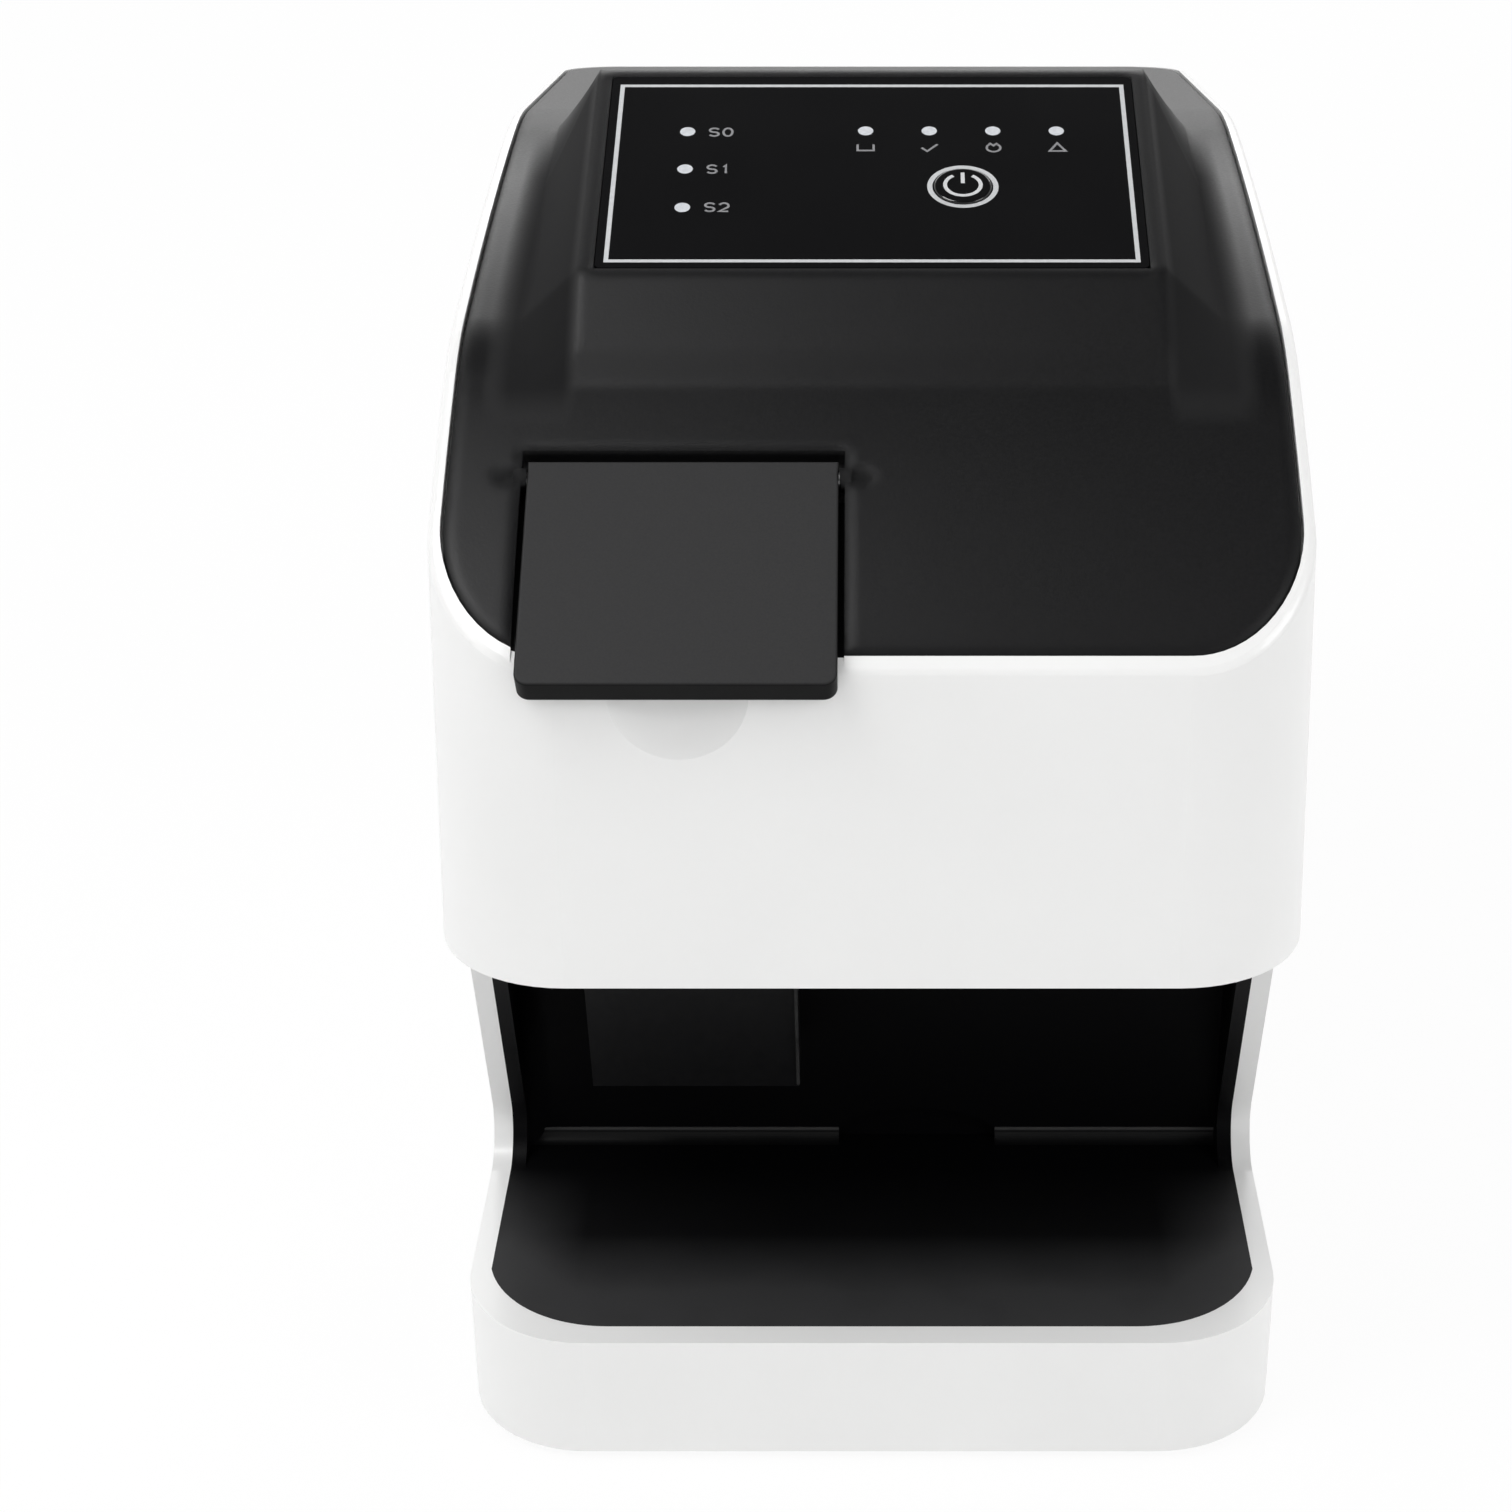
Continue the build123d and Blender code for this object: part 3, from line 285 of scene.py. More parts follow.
def bayPlastic(flow):
    # nearly black, and greyer by painted light: all over the front, at the rear most at the sides, in
    # patches
    grain = mouldGrain(flow, bayLook["grain"])
    cloud = flow.noise(bayLook["cloud"], detail=3.0)
    forward, across = flow.along("Y") * -1.0, flow.along("X").unsigned()
    front, rear = forward.past(*bayLook["front"]), forward.past(*bayLook["rear"])
    middlePaintedLight, sidePaintedLight = bayLook["rearPaintedLight"]
    leastPatch, morePatch = bayLook["patches"]
    # painted light: grey over the whole front, and at the rear more towards the sides
    paintedLight = (front + rear * (middlePaintedLight + across.past(*bayLook["side"]) * sidePaintedLight)).clipped()
    paintedLightPatches = (paintedLight * (leastPatch + cloud * morePatch)).clipped()
    return {
        "Base Color": paintedLightPatches.tint(grain.tint(bayLook["dark"], bayLook["pale"]), bayLook["paintedLight"]),
        "Roughness": grain.around(bayLook["rough"], mould["stray"]),
        "Normal": grain.bump(bayLook["depth"], mould["strength"]),
    }


panelLook = {
    "pale": (0.0045, 0.0045, 0.005), "dark": (0.0028, 0.0028, 0.0032), "speck": 0.0006,
    "rough": 0.12, "stray": 0.05, "haze": 0.02, "depth": 0.00001, "strength": 0.2,
}


def panelLacquer(flow):  # fine specks in the colour, a slow haze in the gloss
    speck = flow.noise(panelLook["speck"], detail=1.0)
    haze = flow.noise(panelLook["haze"])
    return {
        "Base Color": speck.tint(panelLook["dark"], panelLook["pale"]),
        "Roughness": panelLook["rough"] + haze * panelLook["stray"],
        "Normal": haze.bump(panelLook["depth"], panelLook["strength"]),
    }


printLook = {
    "pale": (0.62, 0.63, 0.64), "dark": (0.50, 0.51, 0.52), "cloud": 0.0008, "rough": 0.45, "stray": 0.1}
dimLook = {
    "pale": (0.27, 0.27, 0.28), "dark": (0.17, 0.17, 0.18), "cloud": 0.0008, "rough": 0.50, "stray": 0.1}
windowLook = {
    "pale": (0.72, 0.74, 0.77), "dark": (0.42, 0.44, 0.47), "cloud": 0.0006, "rough": 0.30, "stray": 0.1}
facetLook = {
    "pale": (0.93, 0.94, 0.95), "dark": (0.86, 0.87, 0.88), "cloud": 0.004, "rough": 0.03, "stray": 0.04}
glassLook = {
    "pale": (0.92, 0.95, 0.97), "dark": (0.80, 0.88, 0.93), "cloud": 0.006, "rough": 0.02, "stray": 0.03}


def clouded(look):  # ink, window, mirror and glass: one noise sets the colour and adds to the roughness
    def sockets(flow):
        cloud = flow.noise(look["cloud"], look.get("detail", 2.0))
        return {
            "Base Color": cloud.tint(look["dark"], look["pale"]),
            "Roughness": look["rough"] + cloud * look["stray"],
        }
    return sockets


metals = {  # turned and ground parts, by material slot
    "steel": {"name": "groundSteel", "pale": (0.62, 0.62, 0.63), "dark": (0.45, 0.45, 0.46), "rough": 0.28},
    "pulley_aluminium": {
        "name": "turnedAluminium", "pale": (0.72, 0.73, 0.74), "dark": (0.52, 0.53, 0.54), "rough": 0.30},
    "laser_brass": {
        "name": "turnedBrass", "pale": (0.72, 0.52, 0.22), "dark": (0.52, 0.36, 0.14), "rough": 0.26},
    "post_brass": {
        "name": "brassPost", "pale": (0.70, 0.52, 0.24), "dark": (0.50, 0.36, 0.15), "rough": 0.30},
    "socket_shell": {
        "name": "tinnedShell", "pale": (0.70, 0.71, 0.72), "dark": (0.50, 0.51, 0.52), "rough": 0.30},
}
grinding = {
    "line": 0.004, "stretch": (1.0, 30.0, 30.0), "blotch": 0.012, "lineShare": 0.6,
    "stray": 0.12, "depth": 0.000006, "strength": 0.4,
}


def groundMetal(look):  # noise drawn out along x gives the tool's lines, with blotches over them
    def sockets(flow):
        lines = flow.noise(grinding["line"], detail=3.0, rough=0.6, stretch=grinding["stretch"])
        blotch = flow.noise(grinding["blotch"])
        return {
            "Base Color": lines.blended(blotch, grinding["lineShare"]).tint(look["dark"], look["pale"]),
            "Roughness": lines.around(look["rough"], grinding["stray"]),
            "Normal": lines.bump(grinding["depth"], grinding["strength"]),
        }
    return sockets


zincLook = {
    "pale": (0.62, 0.63, 0.64), "dark": (0.44, 0.45, 0.46), "flake": 0.004,
    "rough": 0.34, "stray": 0.16, "ripple": 0.002, "depth": 0.00001, "strength": 0.3,
}


def spangledZinc(flow):  # each cell is one flake, whose shade sets colour and roughness
    flake = flow.cells(zincLook["flake"], out="Color")
    shade = flake.add("ShaderNodeSeparateColor", None, {"Color": flake})
    return {
        "Base Color": shade.tint(zincLook["dark"], zincLook["pale"]),
        "Roughness": zincLook["rough"] + shade * zincLook["stray"],
        "Normal": flow.noise(zincLook["ripple"]).bump(zincLook["depth"], zincLook["strength"]),
    }


castLook = {
    "pale": (0.48, 0.49, 0.50), "dark": (0.30, 0.31, 0.32), "pits": 0.0009,
    "rough": 0.45, "stray": 0.15, "depth": 0.00004, "strength": 0.6,
}


def castMetal(flow):  # gritty noise for the pits of a casting
    pits = flow.noise(castLook["pits"], detail=4.0, rough=0.65)
    return {
        "Base Color": pits.tint(castLook["dark"], castLook["pale"]),
        "Roughness": castLook["rough"] + pits * castLook["stray"],
        "Normal": pits.bump(castLook["depth"], castLook["strength"]),
    }


plastics = {  # plain mouldings, paint and anodised sheet, by material slot
    "guide_plastic": {
        "name": "blackGuide", "pale": (0.035, 0.035, 0.037), "dark": (0.02, 0.02, 0.022), "rough": 0.40},
    "flap_aluminium": {
        "name": "blackAnodisedFlap", "pale": (0.06, 0.06, 0.065), "dark": (0.03, 0.03, 0.033),
        "rough": 0.42, "metallic": 0.6},
    "bush_plastic": {
        "name": "naturalAcetal", "pale": (0.78, 0.76, 0.69), "dark": (0.68, 0.66, 0.58), "rough": 0.38},
    "motor_black": {
        "name": "motorPaint", "pale": (0.045, 0.045, 0.05), "dark": (0.025, 0.025, 0.03), "rough": 0.42},
    "optics_black": {
        "name": "blackAnodised", "pale": (0.05, 0.05, 0.055), "dark": (0.022, 0.022, 0.025),
        "rough": 0.48, "metallic": 0.5},
    "eraser_white": {
        "name": "eraserWhite", "pale": (0.82, 0.82, 0.78), "dark": (0.72, 0.72, 0.68), "rough": 0.40},
    "switch_black": {
        "name": "switchBlack", "pale": (0.05, 0.05, 0.05), "dark": (0.025, 0.025, 0.025), "rough": 0.50},
    "sink_black": {
        "name": "finnedBlack", "pale": (0.05, 0.05, 0.055), "dark": (0.03, 0.03, 0.033),
        "rough": 0.50, "metallic": 0.5},
}
chuteLook = {"pale": (0.008, 0.008, 0.0085), "dark": (0.004, 0.004, 0.0045), "rough": 0.42}
plainGrain = {"size": 0.0012, "stray": 0.12, "depth": 0.000015, "strength": 0.5}


def plainPlastic(look):  # one noise for colour, roughness and relief
    def sockets(flow):
        grain = flow.noise(plainGrain["size"])
        return {
            "Base Color": grain.tint(look["dark"], look["pale"]),
            "Roughness": grain.around(look["rough"], plainGrain["stray"]),
            "Normal": grain.bump(plainGrain["depth"], plainGrain["strength"]),
        }
    return sockets


rubberLook = {
    "pale": (0.05, 0.05, 0.05), "dark": (0.018, 0.018, 0.018),
    "grain": 0.0008, "dust": 0.01, "grainShare": 0.4,
    "rough": 0.72, "stray": 0.2, "depth": 0.00004, "strength": 0.7,
}


def rubberSkin(flow):  # gritty grain, with dust over it in the colour
    grain = flow.noise(rubberLook["grain"], detail=4.0, rough=0.7)
    dust = flow.noise(rubberLook["dust"], detail=3.0)
    shade = grain.blended(dust, rubberLook["grainShare"])
    return {
        "Base Color": shade.tint(rubberLook["dark"], rubberLook["pale"]),
        "Roughness": grain.around(rubberLook["rough"], rubberLook["stray"]),
        "Normal": grain.bump(rubberLook["depth"], rubberLook["strength"]),
    }


boardLook = {
    "pale": (0.03, 0.26, 0.12), "dark": (0.01, 0.09, 0.045),
    "cell": 0.0035, "track": 0.12, "weave": 0.0007, "trackTint": 0.5, "weaveTint": 0.3, "weaveRelief": 0.2,
    "rough": 0.32, "stray": 0.1, "depth": 0.00003, "strength": 0.6,
}


def solderMask(flow):  # tracks run where a cell's edge is nearer than their half width, over a fine weave
    track = flow.cells(boardLook["cell"], "DISTANCE_TO_EDGE") < boardLook["track"]
    weave = flow.noise(boardLook["weave"])
    base = (track * boardLook["trackTint"] + weave * boardLook["weaveTint"]).clipped()
    relief = track + weave * boardLook["weaveRelief"]
    return {
        "Base Color": base.tint(boardLook["dark"], boardLook["pale"]),
        "Roughness": boardLook["rough"] + weave * boardLook["stray"],
        "Normal": relief.bump(boardLook["depth"], boardLook["strength"]),
    }


finishes = {
    "white_shell": finish("whiteShell", shellPlastic, Coat_Weight=0.25, Coat_Roughness=0.12),
    "black_top": finish("grainedBlackTop", blackTop, Specular_IOR_Level=0.18),
    "panel_black": finish("blackPanelLacquer", panelLacquer),
    "silver_trim": finish("silverPrint", clouded(printLook), Metallic=0.2),
    "window_grey": finish("milkyWindow", clouded(windowLook)),
    "key_black": finish("blackKeyLacquer", panelLacquer),
    "bay_black": finish("satinBlackBay", bayPlastic, Specular_IOR_Level=0.05),
    "zinc_sheet": finish("zincSheet", spangledZinc, Metallic=1.0),
    "roller_rubber": finish("rollerRubber", rubberSkin),
    "belt_rubber": finish("beltRubber", rubberSkin),
    "foot_rubber": finish("footRubber", rubberSkin),
    "optics_cast": finish("castTray", castMetal, Metallic=1.0),
    "facet_mirror": finish("mirrorFacets", clouded(facetLook), Metallic=1.0),
    "lens_glass": finish("coatedGlass", clouded(glassLook), Transmission_Weight=1.0, IOR=1.5),
    "board_green": finish("solderMask", solderMask),
}
for slot, look in metals.items():
    finishes[slot] = finish(look["name"], groundMetal(look), Metallic=1.0)
for slot, look in plastics.items():
    finishes[slot] = finish(look["name"], plainPlastic(look), Metallic=look.get("metallic", 0.0))
ownFinishes = {  # nodes that differ from the rest of their slot
    "slot_cover": finish("grainedCover", blackCover, Specular_IOR_Level=0.06),
    "outlet_chute": finish("chutePlastic", plainPlastic(chuteLook), Specular_IOR_Level=0.2),
}
print("finishes made:", len(finishes) + len(ownFinishes))

for part in frame["record"]["subparts"]:
    skin = ownFinishes.get(part["node"], finishes[part["material_slot"]])
    nodes[part["node"]].data.materials.clear()
    nodes[part["node"]].data.materials.append(skin)


# meshes of the new pieces: points in metres, and each face as its points' numbers
def addMesh(name, points, faces, skin, slotName, body):
    mesh = bpy.data.meshes.new(name)
    mesh.from_pydata(points.tolist(), [], faces)
    mesh.validate()
    mesh.materials.append(skin)
    piece = bpy.data.objects.new(name, mesh)
    bpy.context.scene.collection.objects.link(piece)
    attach(piece, body)
    return piece


def joinGrid(rows, columns, closedRows=False):
    # faces of a grid of points, row by row: each cell takes its corner, the next column and the next row;
    # the last column always joins the first
    row = np.arange(rows if closedRows else rows - 1)[:, None]
    column = np.arange(columns)[None, :]
    nextRow, nextColumn = (row + 1) % rows, (column + 1) % columns
    cells = (row * columns + column, row * columns + nextColumn,
             nextRow * columns + nextColumn, nextRow * columns + column)
    return np.stack(cells, -1).reshape(-1, 4).tolist()


def endCaps(rows, columns):  # the faces that close a grid's first and last row
    last = columns * (rows - 1)
    return [tuple(range(columns))[::-1], tuple(range(last, last + columns))]


def gather(shapes):  # several closed shapes as one mesh, each one's corner numbers moved past the last
    points, faces, start = [], [], 0
    for some, joined in shapes:
        points.append(some)
        faces += [tuple(corner + start for corner in face) for face in joined]
        start += len(some)
    return np.concatenate(points), faces


def arc(centre, radius, first, last, count, squeeze=1.0):
    # points at equal angles from first to last, in degrees, on a circle squeezed across
    turn = np.radians(np.linspace(first, last, count))
    return np.stack((centre[0] + radius * squeeze * np.cos(turn), centre[1] + radius * np.sin(turn)), 1)


# printing on the panel and its key
panel = {
    "slope": 21.0,  # degrees
    "frameLength": 46.8,  # mm along the slope
    "ink": 0.05,  # mm that printing stands proud
    "sharpest": 0.5,  # least cosine that a stroke's mitre is drawn out for
}
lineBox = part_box("panel_frame_line")
climb = Vector((0.0, cos(radians(panel["slope"])), sin(radians(panel["slope"]))))
rise = Vector((0.0, -sin(radians(panel["slope"])), cos(radians(panel["slope"]))))
panelFront = Vector((0.0, lineBox[0].y, lineBox[1].z - panel["frameLength"] * mm * climb.z))


def onPanel(flat, height):
    # flat is an array of (x, s) in mm, s up the slope from the frame's front line; height in mm above it
    x, s = flat[:, 0:1] * mm, flat[:, 1:2] * mm
    across = x * np.array((1.0, 0.0, 0.0))
    return np.array(panelFront) + across + s * np.array(climb) + height * mm * np.array(rise)


def ribbon(path, closed, width, low, high):
    # the path's points shifted half a width to both sides, along the mitre of the two neighbouring
    # directions, at two heights: a ring of four points per place, joined in turn
    path = np.asarray(path, float)
    ahead = np.roll(path, -1, 0) - path
    behind = path - np.roll(path, 1, 0)
    if not closed:
        ahead[-1], behind[0] = behind[-1], ahead[0]
    ahead /= np.linalg.norm(ahead, axis=1, keepdims=True)
    behind /= np.linalg.norm(behind, axis=1, keepdims=True)
    along = ahead + behind
    along /= np.linalg.norm(along, axis=1, keepdims=True)
    side = np.stack((-along[:, 1], along[:, 0]), 1)
    spread = width / 2 / np.clip((along * ahead).sum(1, keepdims=True), panel["sharpest"], 1.0)
    left, right = path + side * spread, path - side * spread
    corners = (onPanel(left, low), onPanel(right, low), onPanel(right, high), onPanel(left, high))
    points = np.stack(corners, 1).reshape(-1, 3)
    count = len(corners)
    return points, joinGrid(len(path), count, closed) + ([] if closed else endCaps(len(path), count))


def strokes(paths, width, low, high):  # one ribbon for each path and whether it is closed
    return gather([ribbon(path, closed, width, low, high) for path, closed in paths])


sizeMarks = {
    "x": -24.8, "last": 13.8, "pitch": 9.9,  # mm: the letters' place, the lowest row and the step up
    "letterGap": 2.15, "height": 2.1, "width": 1.4, "line": 0.36,
    "flag": 0.55,  # how far the flag of the 1 reaches, as a share of half a figure
    "bowOfTwo": (160.0, -35.0), "highBow": (20.0, 250.0), "lowBow": (70.0, -160.0),  # degrees
    "bowPoints": 15, "ringPoints": 48,
}


def figurePath(figure, spot):
    # plain figures of plate sizes: 0 is a squeezed ring, 1 a flag on a stem, 2 a bow over a slope and a
    # foot, and S two bows that turn opposite ways
    x, s = spot
    tall, wide = sizeMarks["height"] / 2, sizeMarks["width"] / 2
    flag, points = sizeMarks["flag"], sizeMarks["bowPoints"]
    if figure == "0":
        return arc(spot, tall, 0.0, 360.0, sizeMarks["ringPoints"] + 1, wide / tall)[:-1], True
    if figure == "1":
        return np.array([(x - wide * flag, s + tall * flag), (x, s + tall), (x, s - tall)]), False
    if figure == "2":
        bow = arc((x, s + tall - wide), wide, *sizeMarks["bowOfTwo"], points)
        return np.concatenate((bow, [(x - wide, s - tall), (x + wide, s - tall)])), False
    high = arc((x, s + tall / 2), tall / 2, *sizeMarks["highBow"], points, 2 * wide / tall)
    low = arc((x, s - tall / 2), tall / 2, *sizeMarks["lowBow"], points, 2 * wide / tall)
    return np.concatenate((high, low)), False


def printMarks():
    # S0 in the top row and S2 in the lowest, a step apart
    paths = []
    for size in range(3):
        s = sizeMarks["last"] + (2 - size) * sizeMarks["pitch"]
        paths.append(figurePath("S", (sizeMarks["x"], s)))
        paths.append(figurePath(str(size), (sizeMarks["x"] + sizeMarks["letterGap"], s)))
    return strokes(paths, sizeMarks["line"], 0.0, panel["ink"])


signs = {
    "x": (-1.0, 9.0, 19.0, 29.0), "s": 29.4, "size": 1.25, "line": 0.36,  # mm
    # outlines round each sign's middle, in units of the size
    "tray": ((-1.0, 0.7), (-1.0, -0.6), (1.0, -0.6), (1.0, 0.7)),
    "tick": ((-1.0, 0.0), (-0.3, -0.75), (1.0, 0.75)),
    "arrow": ((-0.5, 1.0), (0.0, 0.45), (0.5, 1.0)),
    "triangle": ((-1.0, -0.7), (1.0, -0.7), (0.0, 1.0)),
    "turnRadius": 0.85, "turn": (125.0, 415.0), "turnPoints": 31,  # the ring that the arrow ends
}


def printSigns():
    # tray under the first lamp, tick, turning ring with its arrow, and the triangle of the fault lamp:
    # each outline times the size, moved to its lamp
    s, size = signs["s"], signs["size"]
    tray, tick, turning, fault = signs["x"]
    ring = arc((turning, s), size * signs["turnRadius"], *signs["turn"], signs["turnPoints"])
    paths = [
        (np.array(signs["tray"]) * size + (tray, s), False),
        (np.array(signs["tick"]) * size + (tick, s), False),
        (ring, False),
        (np.array(signs["arrow"]) * size + (turning, s), False),
        (np.array(signs["triangle"]) * size + (fault, s), True),
    ]
    return strokes(paths, signs["line"], 0.0, panel["ink"])


power = {
    "spot": (14.0, 19.2), "radius": 2.75, "line": 0.6, "proud": 0.3,  # mm
    "gap": 32.0,  # degrees from the top to where the ring starts
    "bar": (0.15, 1.15),  # its ends, as shares of the radius
    "ringPoints": 41,
}


def printPower():
    # a ring from one side of the gap round to the other, and the bar that stands in the gap
    x, s = power["spot"]
    radius, gap = power["radius"], power["gap"]
    ring = arc(power["spot"], radius, 90.0 + gap, 450.0 - gap, power["ringPoints"])
    bar = np.array([(x, s + radius * share) for share in power["bar"]])
    low = power["proud"]
    return strokes([(ring, False), (bar, False)], power["line"], low, low + panel["ink"])


dimInk = finish("greyInk", clouded(dimLook))
addMesh("sizeMarks", *printMarks(), dimInk, "silver_trim", "housing")
addMesh("panelSigns", *printSigns(), dimInk, "silver_trim", "housing")
addMesh("powerSign", *printPower(), finish("paleInk", clouded(printLook)), "silver_trim", "power_key")
print("panel printed")


# screw heads on the rear panel and under the base, in mm
screws = {
    "radius": 2.6, "baseRadius": 2.99, "rise": 0.32, "sunk": -0.3,
    "dome": ((1.0, 0.4), (0.94, 0.8), (0.8, 1.0)),  # shares of the radius and of the rise
    "arm": 1.55, "armHalf": 0.415, "floor": 0.04,  # the cross and how high its floor lies
    "taper": 0.85,  # what is left of the cross at its floor
    "step": 3.75,  # degrees from point to point
    "rear": ((-46, 20), (46, 20), (-46, 131), (46, 131)), "behind": 200,
    "base": ((-57.4, -47.47), (57.4, -47.47), (-57.4, 95.53), (57.4, 95.53)),
}


def screwHead(radius, spot, outward):
    # rings from the rim over a low dome to the cross, then down to its floor: a ring is a circle, or the
    # cross's outline, whose distance from the middle is the arm's end or its side, whichever is nearer
    turn = np.radians(np.arange(0.0, 360.0, screws["step"]))
    nearArm = np.abs((turn + pi / 4) % (pi / 2) - pi / 4)  # angle to the nearest arm
    armSide = screws["armHalf"] / np.maximum(np.sin(nearArm), 1e-6)  # along an arm its side is far off
    cross = np.minimum(screws["arm"] / np.cos(nearArm), armSide)
    circle, top = np.full_like(turn, radius), screws["rise"]
    rings = [(circle, screws["sunk"])] + [(circle * wide, top * high) for wide, high in screws["dome"]]
    rings += [(cross, top), (cross * screws["taper"], screws["floor"])]
    flat = np.concatenate([np.stack((far * np.cos(turn), far * np.sin(turn), np.full_like(turn, high)), 1)
                           for far, high in rings] + [[(0.0, 0.0, screws["floor"])]])
    outward = np.array(outward, float)
    across = np.cross(outward, (1.0, 0.0, 0.0))
    across /= np.linalg.norm(across)
    points = np.array(spot) + (flat @ np.stack((across, np.cross(outward, across), outward))) * mm
    count = len(turn)
    middle = count * len(rings)
    inner = np.arange(middle - count, middle)
    fan = np.stack((inner, np.roll(inner, -1), np.full(count, middle)), 1)
    return points, joinGrid(len(rings), count) + [tuple(range(count))[::-1]] + fan.tolist()


def onSurface(node, start, way):  # where a line from a point in mm meets a node, and its normal there
    return nodes[node].ray_cast(Vector(start) * mm, Vector(way))[1:3]


def rearScrews():
    # each head stands where a line from behind meets the panel
    feet = [onSurface("rear_cover", (x, screws["behind"], z), (0, -1, 0)) for x, z in screws["rear"]]
    return gather([screwHead(screws["radius"], *foot) for foot in feet])


def baseScrews():
    # each head stands on the lower end of its screw
    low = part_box("base_screws")[0].z
    return gather([screwHead(screws["baseRadius"], (x * mm, y * mm, low), (0, 0, -1))
                   for x, y in screws["base"]])


# inside of the network socket, in mm
jack = {
    "x": (10.12, 21.88), "z": (15.72, 24.98), "latch": (13.0, 19.0), "latchLow": 14.35,
    "wall": 0.55, "mouth": 118.3, "back": 106.4, "end": 105.8,
    "wires": 8, "pitch": 1.02, "wireHalf": 0.22, "wireThick": 0.3,
    "wirePath": ((117.6, 24.35), (115.0, 24.1), (112.0, 23.2), (109.0, 21.9), (106.6, 21.2)),  # y, z
}


def socketInsert():
    # a cup: the hole's own outline, then the same moved in by the wall, as rings from the end to the mouth
    # and back down to the floor, which closes it
    (left, right), (low, high), (latchLeft, latchRight) = jack["x"], jack["z"], jack["latch"]
    latchLow = jack["latchLow"]
    outline = np.array(((left, low), (latchLeft, low), (latchLeft, latchLow), (latchRight, latchLow),
                        (latchRight, low), (right, low), (right, high), (left, high)))
    inward = np.array(((1, 1), (1, 1), (1, 1), (-1, 1), (-1, 1), (-1, 1), (-1, -1), (1, -1)))
    rings = []
    for inset, y in ((0.0, "end"), (0.0, "mouth"), (jack["wall"], "mouth"), (jack["wall"], "back")):
        moved = outline + inward * inset
        rings.append(np.column_stack((moved[:, 0], np.full(len(moved), jack[y]), moved[:, 1])))
    faces = joinGrid(len(rings), len(outline)) + endCaps(len(rings), len(outline))
    return np.concatenate(rings) * mm, [face[::-1] for face in faces]


def socketWires():
    # each wire is a bent line with a small oblong section: four corners at every point of the line
    line = np.array(jack["wirePath"])
    half, thick = jack["wireHalf"], jack["wireThick"] / 2
    corner = np.array(((-half, -thick), (half, -thick), (half, thick), (-half, thick)))
    middle, shapes = sum(jack["x"]) / 2, []
    size = (len(line), len(corner))
    for place in (np.arange(jack["wires"]) - (jack["wires"] - 1) / 2) * jack["pitch"] + middle:
        x = place + np.broadcast_to(corner[None, :, 0], size)
        y = np.broadcast_to(line[:, None, 0], size)
        points = np.stack((x, y, line[:, None, 1] + corner[None, :, 1]), -1).reshape(-1, 3) * mm
        shapes.append((points, joinGrid(*size) + endCaps(*size)))
    return gather(shapes)


# ledge where the bay's floor meets its back, and a pale rod on the chute's edge that is a painted
# highlight, in mm
ledge = {
    "runs": ((-58.8, -5.7), (21.1, 58.8)), "corner": (-56.47, 22.3), "radius": 1.85, "nose": 0.3,
    "buried": 0.05,  # how far it reaches into wall and floor
    "hollowPoints": 9, "tipPoints": 6,
    "pale": (0.05, 0.05, 0.05), "dark": (0.003, 0.003, 0.0033),
    "grain": 0.002, "paleFrom": 0.02405, "fade": 0.0002,  # metres
    "lit": (0.7, 0.6),  # least share of the pale colour, and what the grain adds
    "rough": 0.42, "stray": 0.1,
}
chuteHighlight = {
    "x": -12.15, "z": (43.0, 88.5), "radius": 0.28, "sides": 8, "inFront": -130,
    # the pale colour is a painted highlight along the chute's edge
    "pale": (0.06, 0.06, 0.06), "dark": chuteLook["dark"], "cloud": 0.002, "detail": 3.0,
    "rough": 0.4, "stray": 0.1,
}


def bayLedge():
    # a hollow quarter circle from the floor to a small round nose, whose top is one and a half of its
    # widths above the circle's end, carried along the back wall
    y, z = ledge["corner"]
    radius, nose, buried = ledge["radius"], ledge["nose"], ledge["buried"]
    foot = y - radius - nose
    hollow = arc((foot, z + radius), radius, -90.0, 0.0, ledge["hollowPoints"])
    tip = arc((y - nose / 2, z + radius + nose), nose / 2, 180.0, 90.0, ledge["tipPoints"])
    behind = [(y + buried, z + radius + nose * 1.5), (y + buried, z - buried), (foot, z - buried)]
    outline = np.concatenate((hollow, tip, behind))
    count = len(outline)
    shapes = []
    for run in ledge["runs"]:
        points = np.concatenate([np.column_stack((np.full(count, x), outline)) for x in run]) * mm
        shapes.append((points, joinGrid(2, count) + endCaps(2, count)))
    return gather(shapes)


def chuteLine():
    # a thin pale rod of a few sides between two points of the chute's front edge, a painted highlight
    sides = chuteHighlight["sides"]
    ends = [onSurface("outlet_chute", (chuteHighlight["x"], chuteHighlight["inFront"], z), (0, 1, 0))[0]
            for z in chuteHighlight["z"]]
    turn = np.radians(np.arange(sides) * 360 / sides)
    ring = np.stack((np.cos(turn), np.sin(turn), np.zeros(sides)), 1) * chuteHighlight["radius"] * mm
    points = np.concatenate([np.array(end) + ring for end in ends])
    return points, joinGrid(2, sides) + endCaps(2, sides)


def ledgePlastic(flow):  # pale above a height, where the nose catches the light, and dark below it
    grain = flow.noise(ledge["grain"], detail=3.0)
    least, more = ledge["lit"]
    lit = flow.along("Z").past(ledge["paleFrom"], ledge["fade"])
    return {
        "Base Color": (lit * (least + grain * more)).clipped().tint(ledge["dark"], ledge["pale"]),
        "Roughness": ledge["rough"] + grain * ledge["stray"],
    }


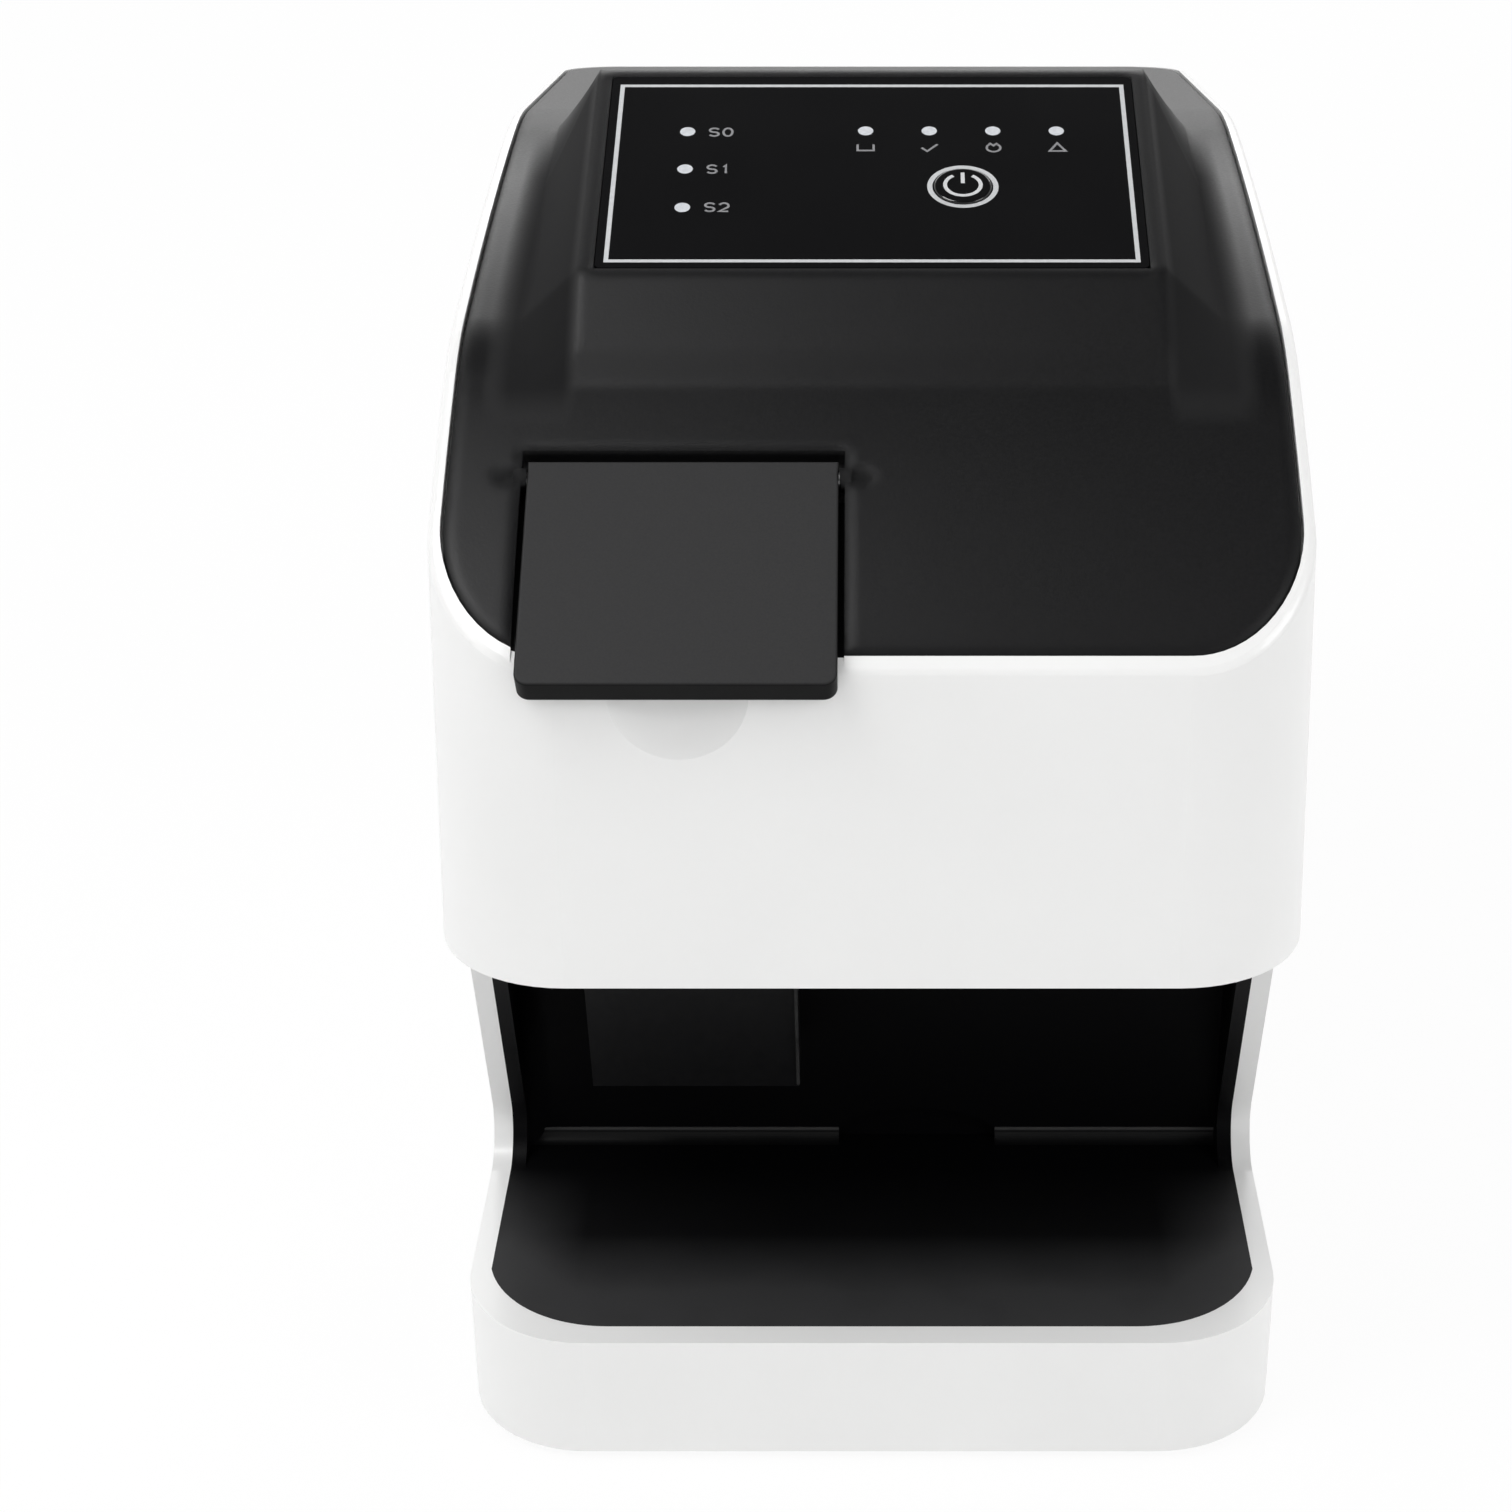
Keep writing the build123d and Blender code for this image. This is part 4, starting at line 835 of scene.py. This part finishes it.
ledgeSkin = finish("ledgePlastic", ledgePlastic, Specular_IOR_Level=0.2)
# the chute rod's pale colour is a painted highlight
highlightSkin = finish("paintedHighlightPlastic", clouded(chuteHighlight), Specular_IOR_Level=0.2)
addMesh("rearScrews", *rearScrews(), finishes["steel"], "steel", "housing")
addMesh("baseScrewHeads", *baseScrews(), finishes["steel"], "steel", "housing")
addMesh("socketInsert", *socketInsert(), finishes["switch_black"], "switch_black", "housing")
addMesh("socketWires", *socketWires(), finishes["laser_brass"], "laser_brass", "housing")
addMesh("bayLedge", *bayLedge(), ledgeSkin, "bay_black", "housing")
addMesh("chuteLine", *chuteLine(), highlightSkin, "bay_black", "housing")
print("details added")


# floor, backdrop and lamps, in metres
studio = {
    "floor": (0.88, 0.88, 0.88),
    "half": 4.0,  # of the floor's side
    "floorShown": 0.93,  # share of even white that the camera and reflections see on the floor
    "ambient": 0.62,
    "sky": ((0.0, 1.0), (0.5, 0.95), (0.9, 0.85)),  # what lights matt faces, by height
    "backdrop": ((0.0, 1.0), (0.40, 1.0), (0.64, 0.05)),  # what shows and mirrors, by height
    "lean": 0.25,  # how much lower the backdrop ends in front than behind
    "aim": (0.0, 0.0, 0.1),  # what all lamps point at
}


def shownRays(flow):  # 1 for what the camera, a mirror or glass sees, 0 for what only lights
    camera = flow.add("ShaderNodeLightPath", out="Is Camera Ray")
    glossy = flow.add("ShaderNodeLightPath", out="Is Glossy Ray")
    through = flow.add("ShaderNodeLightPath", out="Is Transmission Ray")
    return (camera + glossy + through).clipped()


def makeFloor():
    # one flat square, a grid of four corners on the ground
    half = studio["half"]
    points = np.array([(-half, -half, 0), (half, -half, 0), (half, half, 0), (-half, half, 0)], float)
    mesh = bpy.data.meshes.new("studioFloor")
    mesh.from_pydata(points.tolist(), [], [(0, 1, 2, 3)])
    floor = bpy.data.objects.new("studioFloor", mesh)
    bpy.context.scene.collection.objects.link(floor)
    material = bpy.data.materials.new("paleFloor")
    material.use_nodes = True
    material.node_tree.nodes.clear()
    flow = Wire(material.node_tree)
    lit = flow.add("ShaderNodeBsdfDiffuse", None, {"Color": (*studio["floor"], 1.0)})
    even = flow.add("ShaderNodeEmission", None, {"Color": (1.0, 1.0, 1.0, 1.0), "Strength": 1.0})
    share = shownRays(flow) * studio["floorShown"]
    mixed = flow.add("ShaderNodeMixShader", None, {0: share, 1: lit, 2: even})
    flow.add("ShaderNodeOutputMaterial", None, {"Surface": mixed})
    mesh.materials.append(material)


def makeWorld():
    # pale low down and darker overhead, once for what lights the object and once for what is seen
    world = bpy.data.worlds.new("paleStudio")
    bpy.context.scene.world = world
    world.use_nodes = True
    world.node_tree.nodes.clear()
    flow = Wire(world.node_tree)
    spot = flow.add("ShaderNodeTexCoord", out="Generated")
    up = flow.add("ShaderNodeSeparateXYZ", None, {"Vector": spot}, "Z")
    back = flow.add("ShaderNodeSeparateXYZ", None, {"Vector": spot}, "Y")
    sky, backdrop = [[(place, (shade,) * 3) for place, shade in studio[key]] for key in ("sky", "backdrop")]
    light = flow.add("ShaderNodeBackground", None, {"Color": up.ramp(sky), "Strength": studio["ambient"]})
    seen = (up - back * studio["lean"]).ramp(backdrop)
    shown = flow.add("ShaderNodeBackground", None, {"Color": seen, "Strength": 1.0})
    mixed = flow.add("ShaderNodeMixShader", None, {0: shownRays(flow), 1: light, 2: shown})
    flow.add("ShaderNodeOutputWorld", None, {"Surface": mixed})


lamps = {  # places and sizes in metres, power in watts
    "keyLamp": {"place": (-0.48, -0.31, 1.0), "size": (0.5, 0.5), "power": 4.4},
    "leftLamp": {"place": (-1.1, -0.7, 0.8), "size": (0.7, 0.7), "power": 2.7},
    "rightLamp": {"place": (1.1, -0.7, 0.8), "size": (0.7, 0.7), "power": 6.0},
    "backLamp": {"place": (0.0, 1.35, 0.8), "size": (1.4, 0.5), "power": 5.0},
    "sheenLamp": {"place": (-0.48, -0.31, 1.02), "size": (0.5, 0.5), "power": 6.0, "onlyMirrored": True},
}


def makeLamps():
    # each lamp looks from its place to the aim
    for name, lamp in lamps.items():
        data = bpy.data.lights.new(name, "AREA")
        data.shape = "RECTANGLE"
        data.size, data.size_y = lamp["size"]
        data.energy = lamp["power"]
        light = bpy.data.objects.new(name, data)
        light.visible_diffuse = not lamp.get("onlyMirrored", False)
        bpy.context.scene.collection.objects.link(light)
        aim = Vector(studio["aim"]) - Vector(lamp["place"])
        turn = aim.to_track_quat("-Z", "Y").to_matrix().to_4x4()
        light.matrix_world = Matrix.Translation(lamp["place"]) @ turn


makeFloor()
makeWorld()
makeLamps()
bpy.context.scene.view_settings.view_transform = "Standard"
print("studio lit")
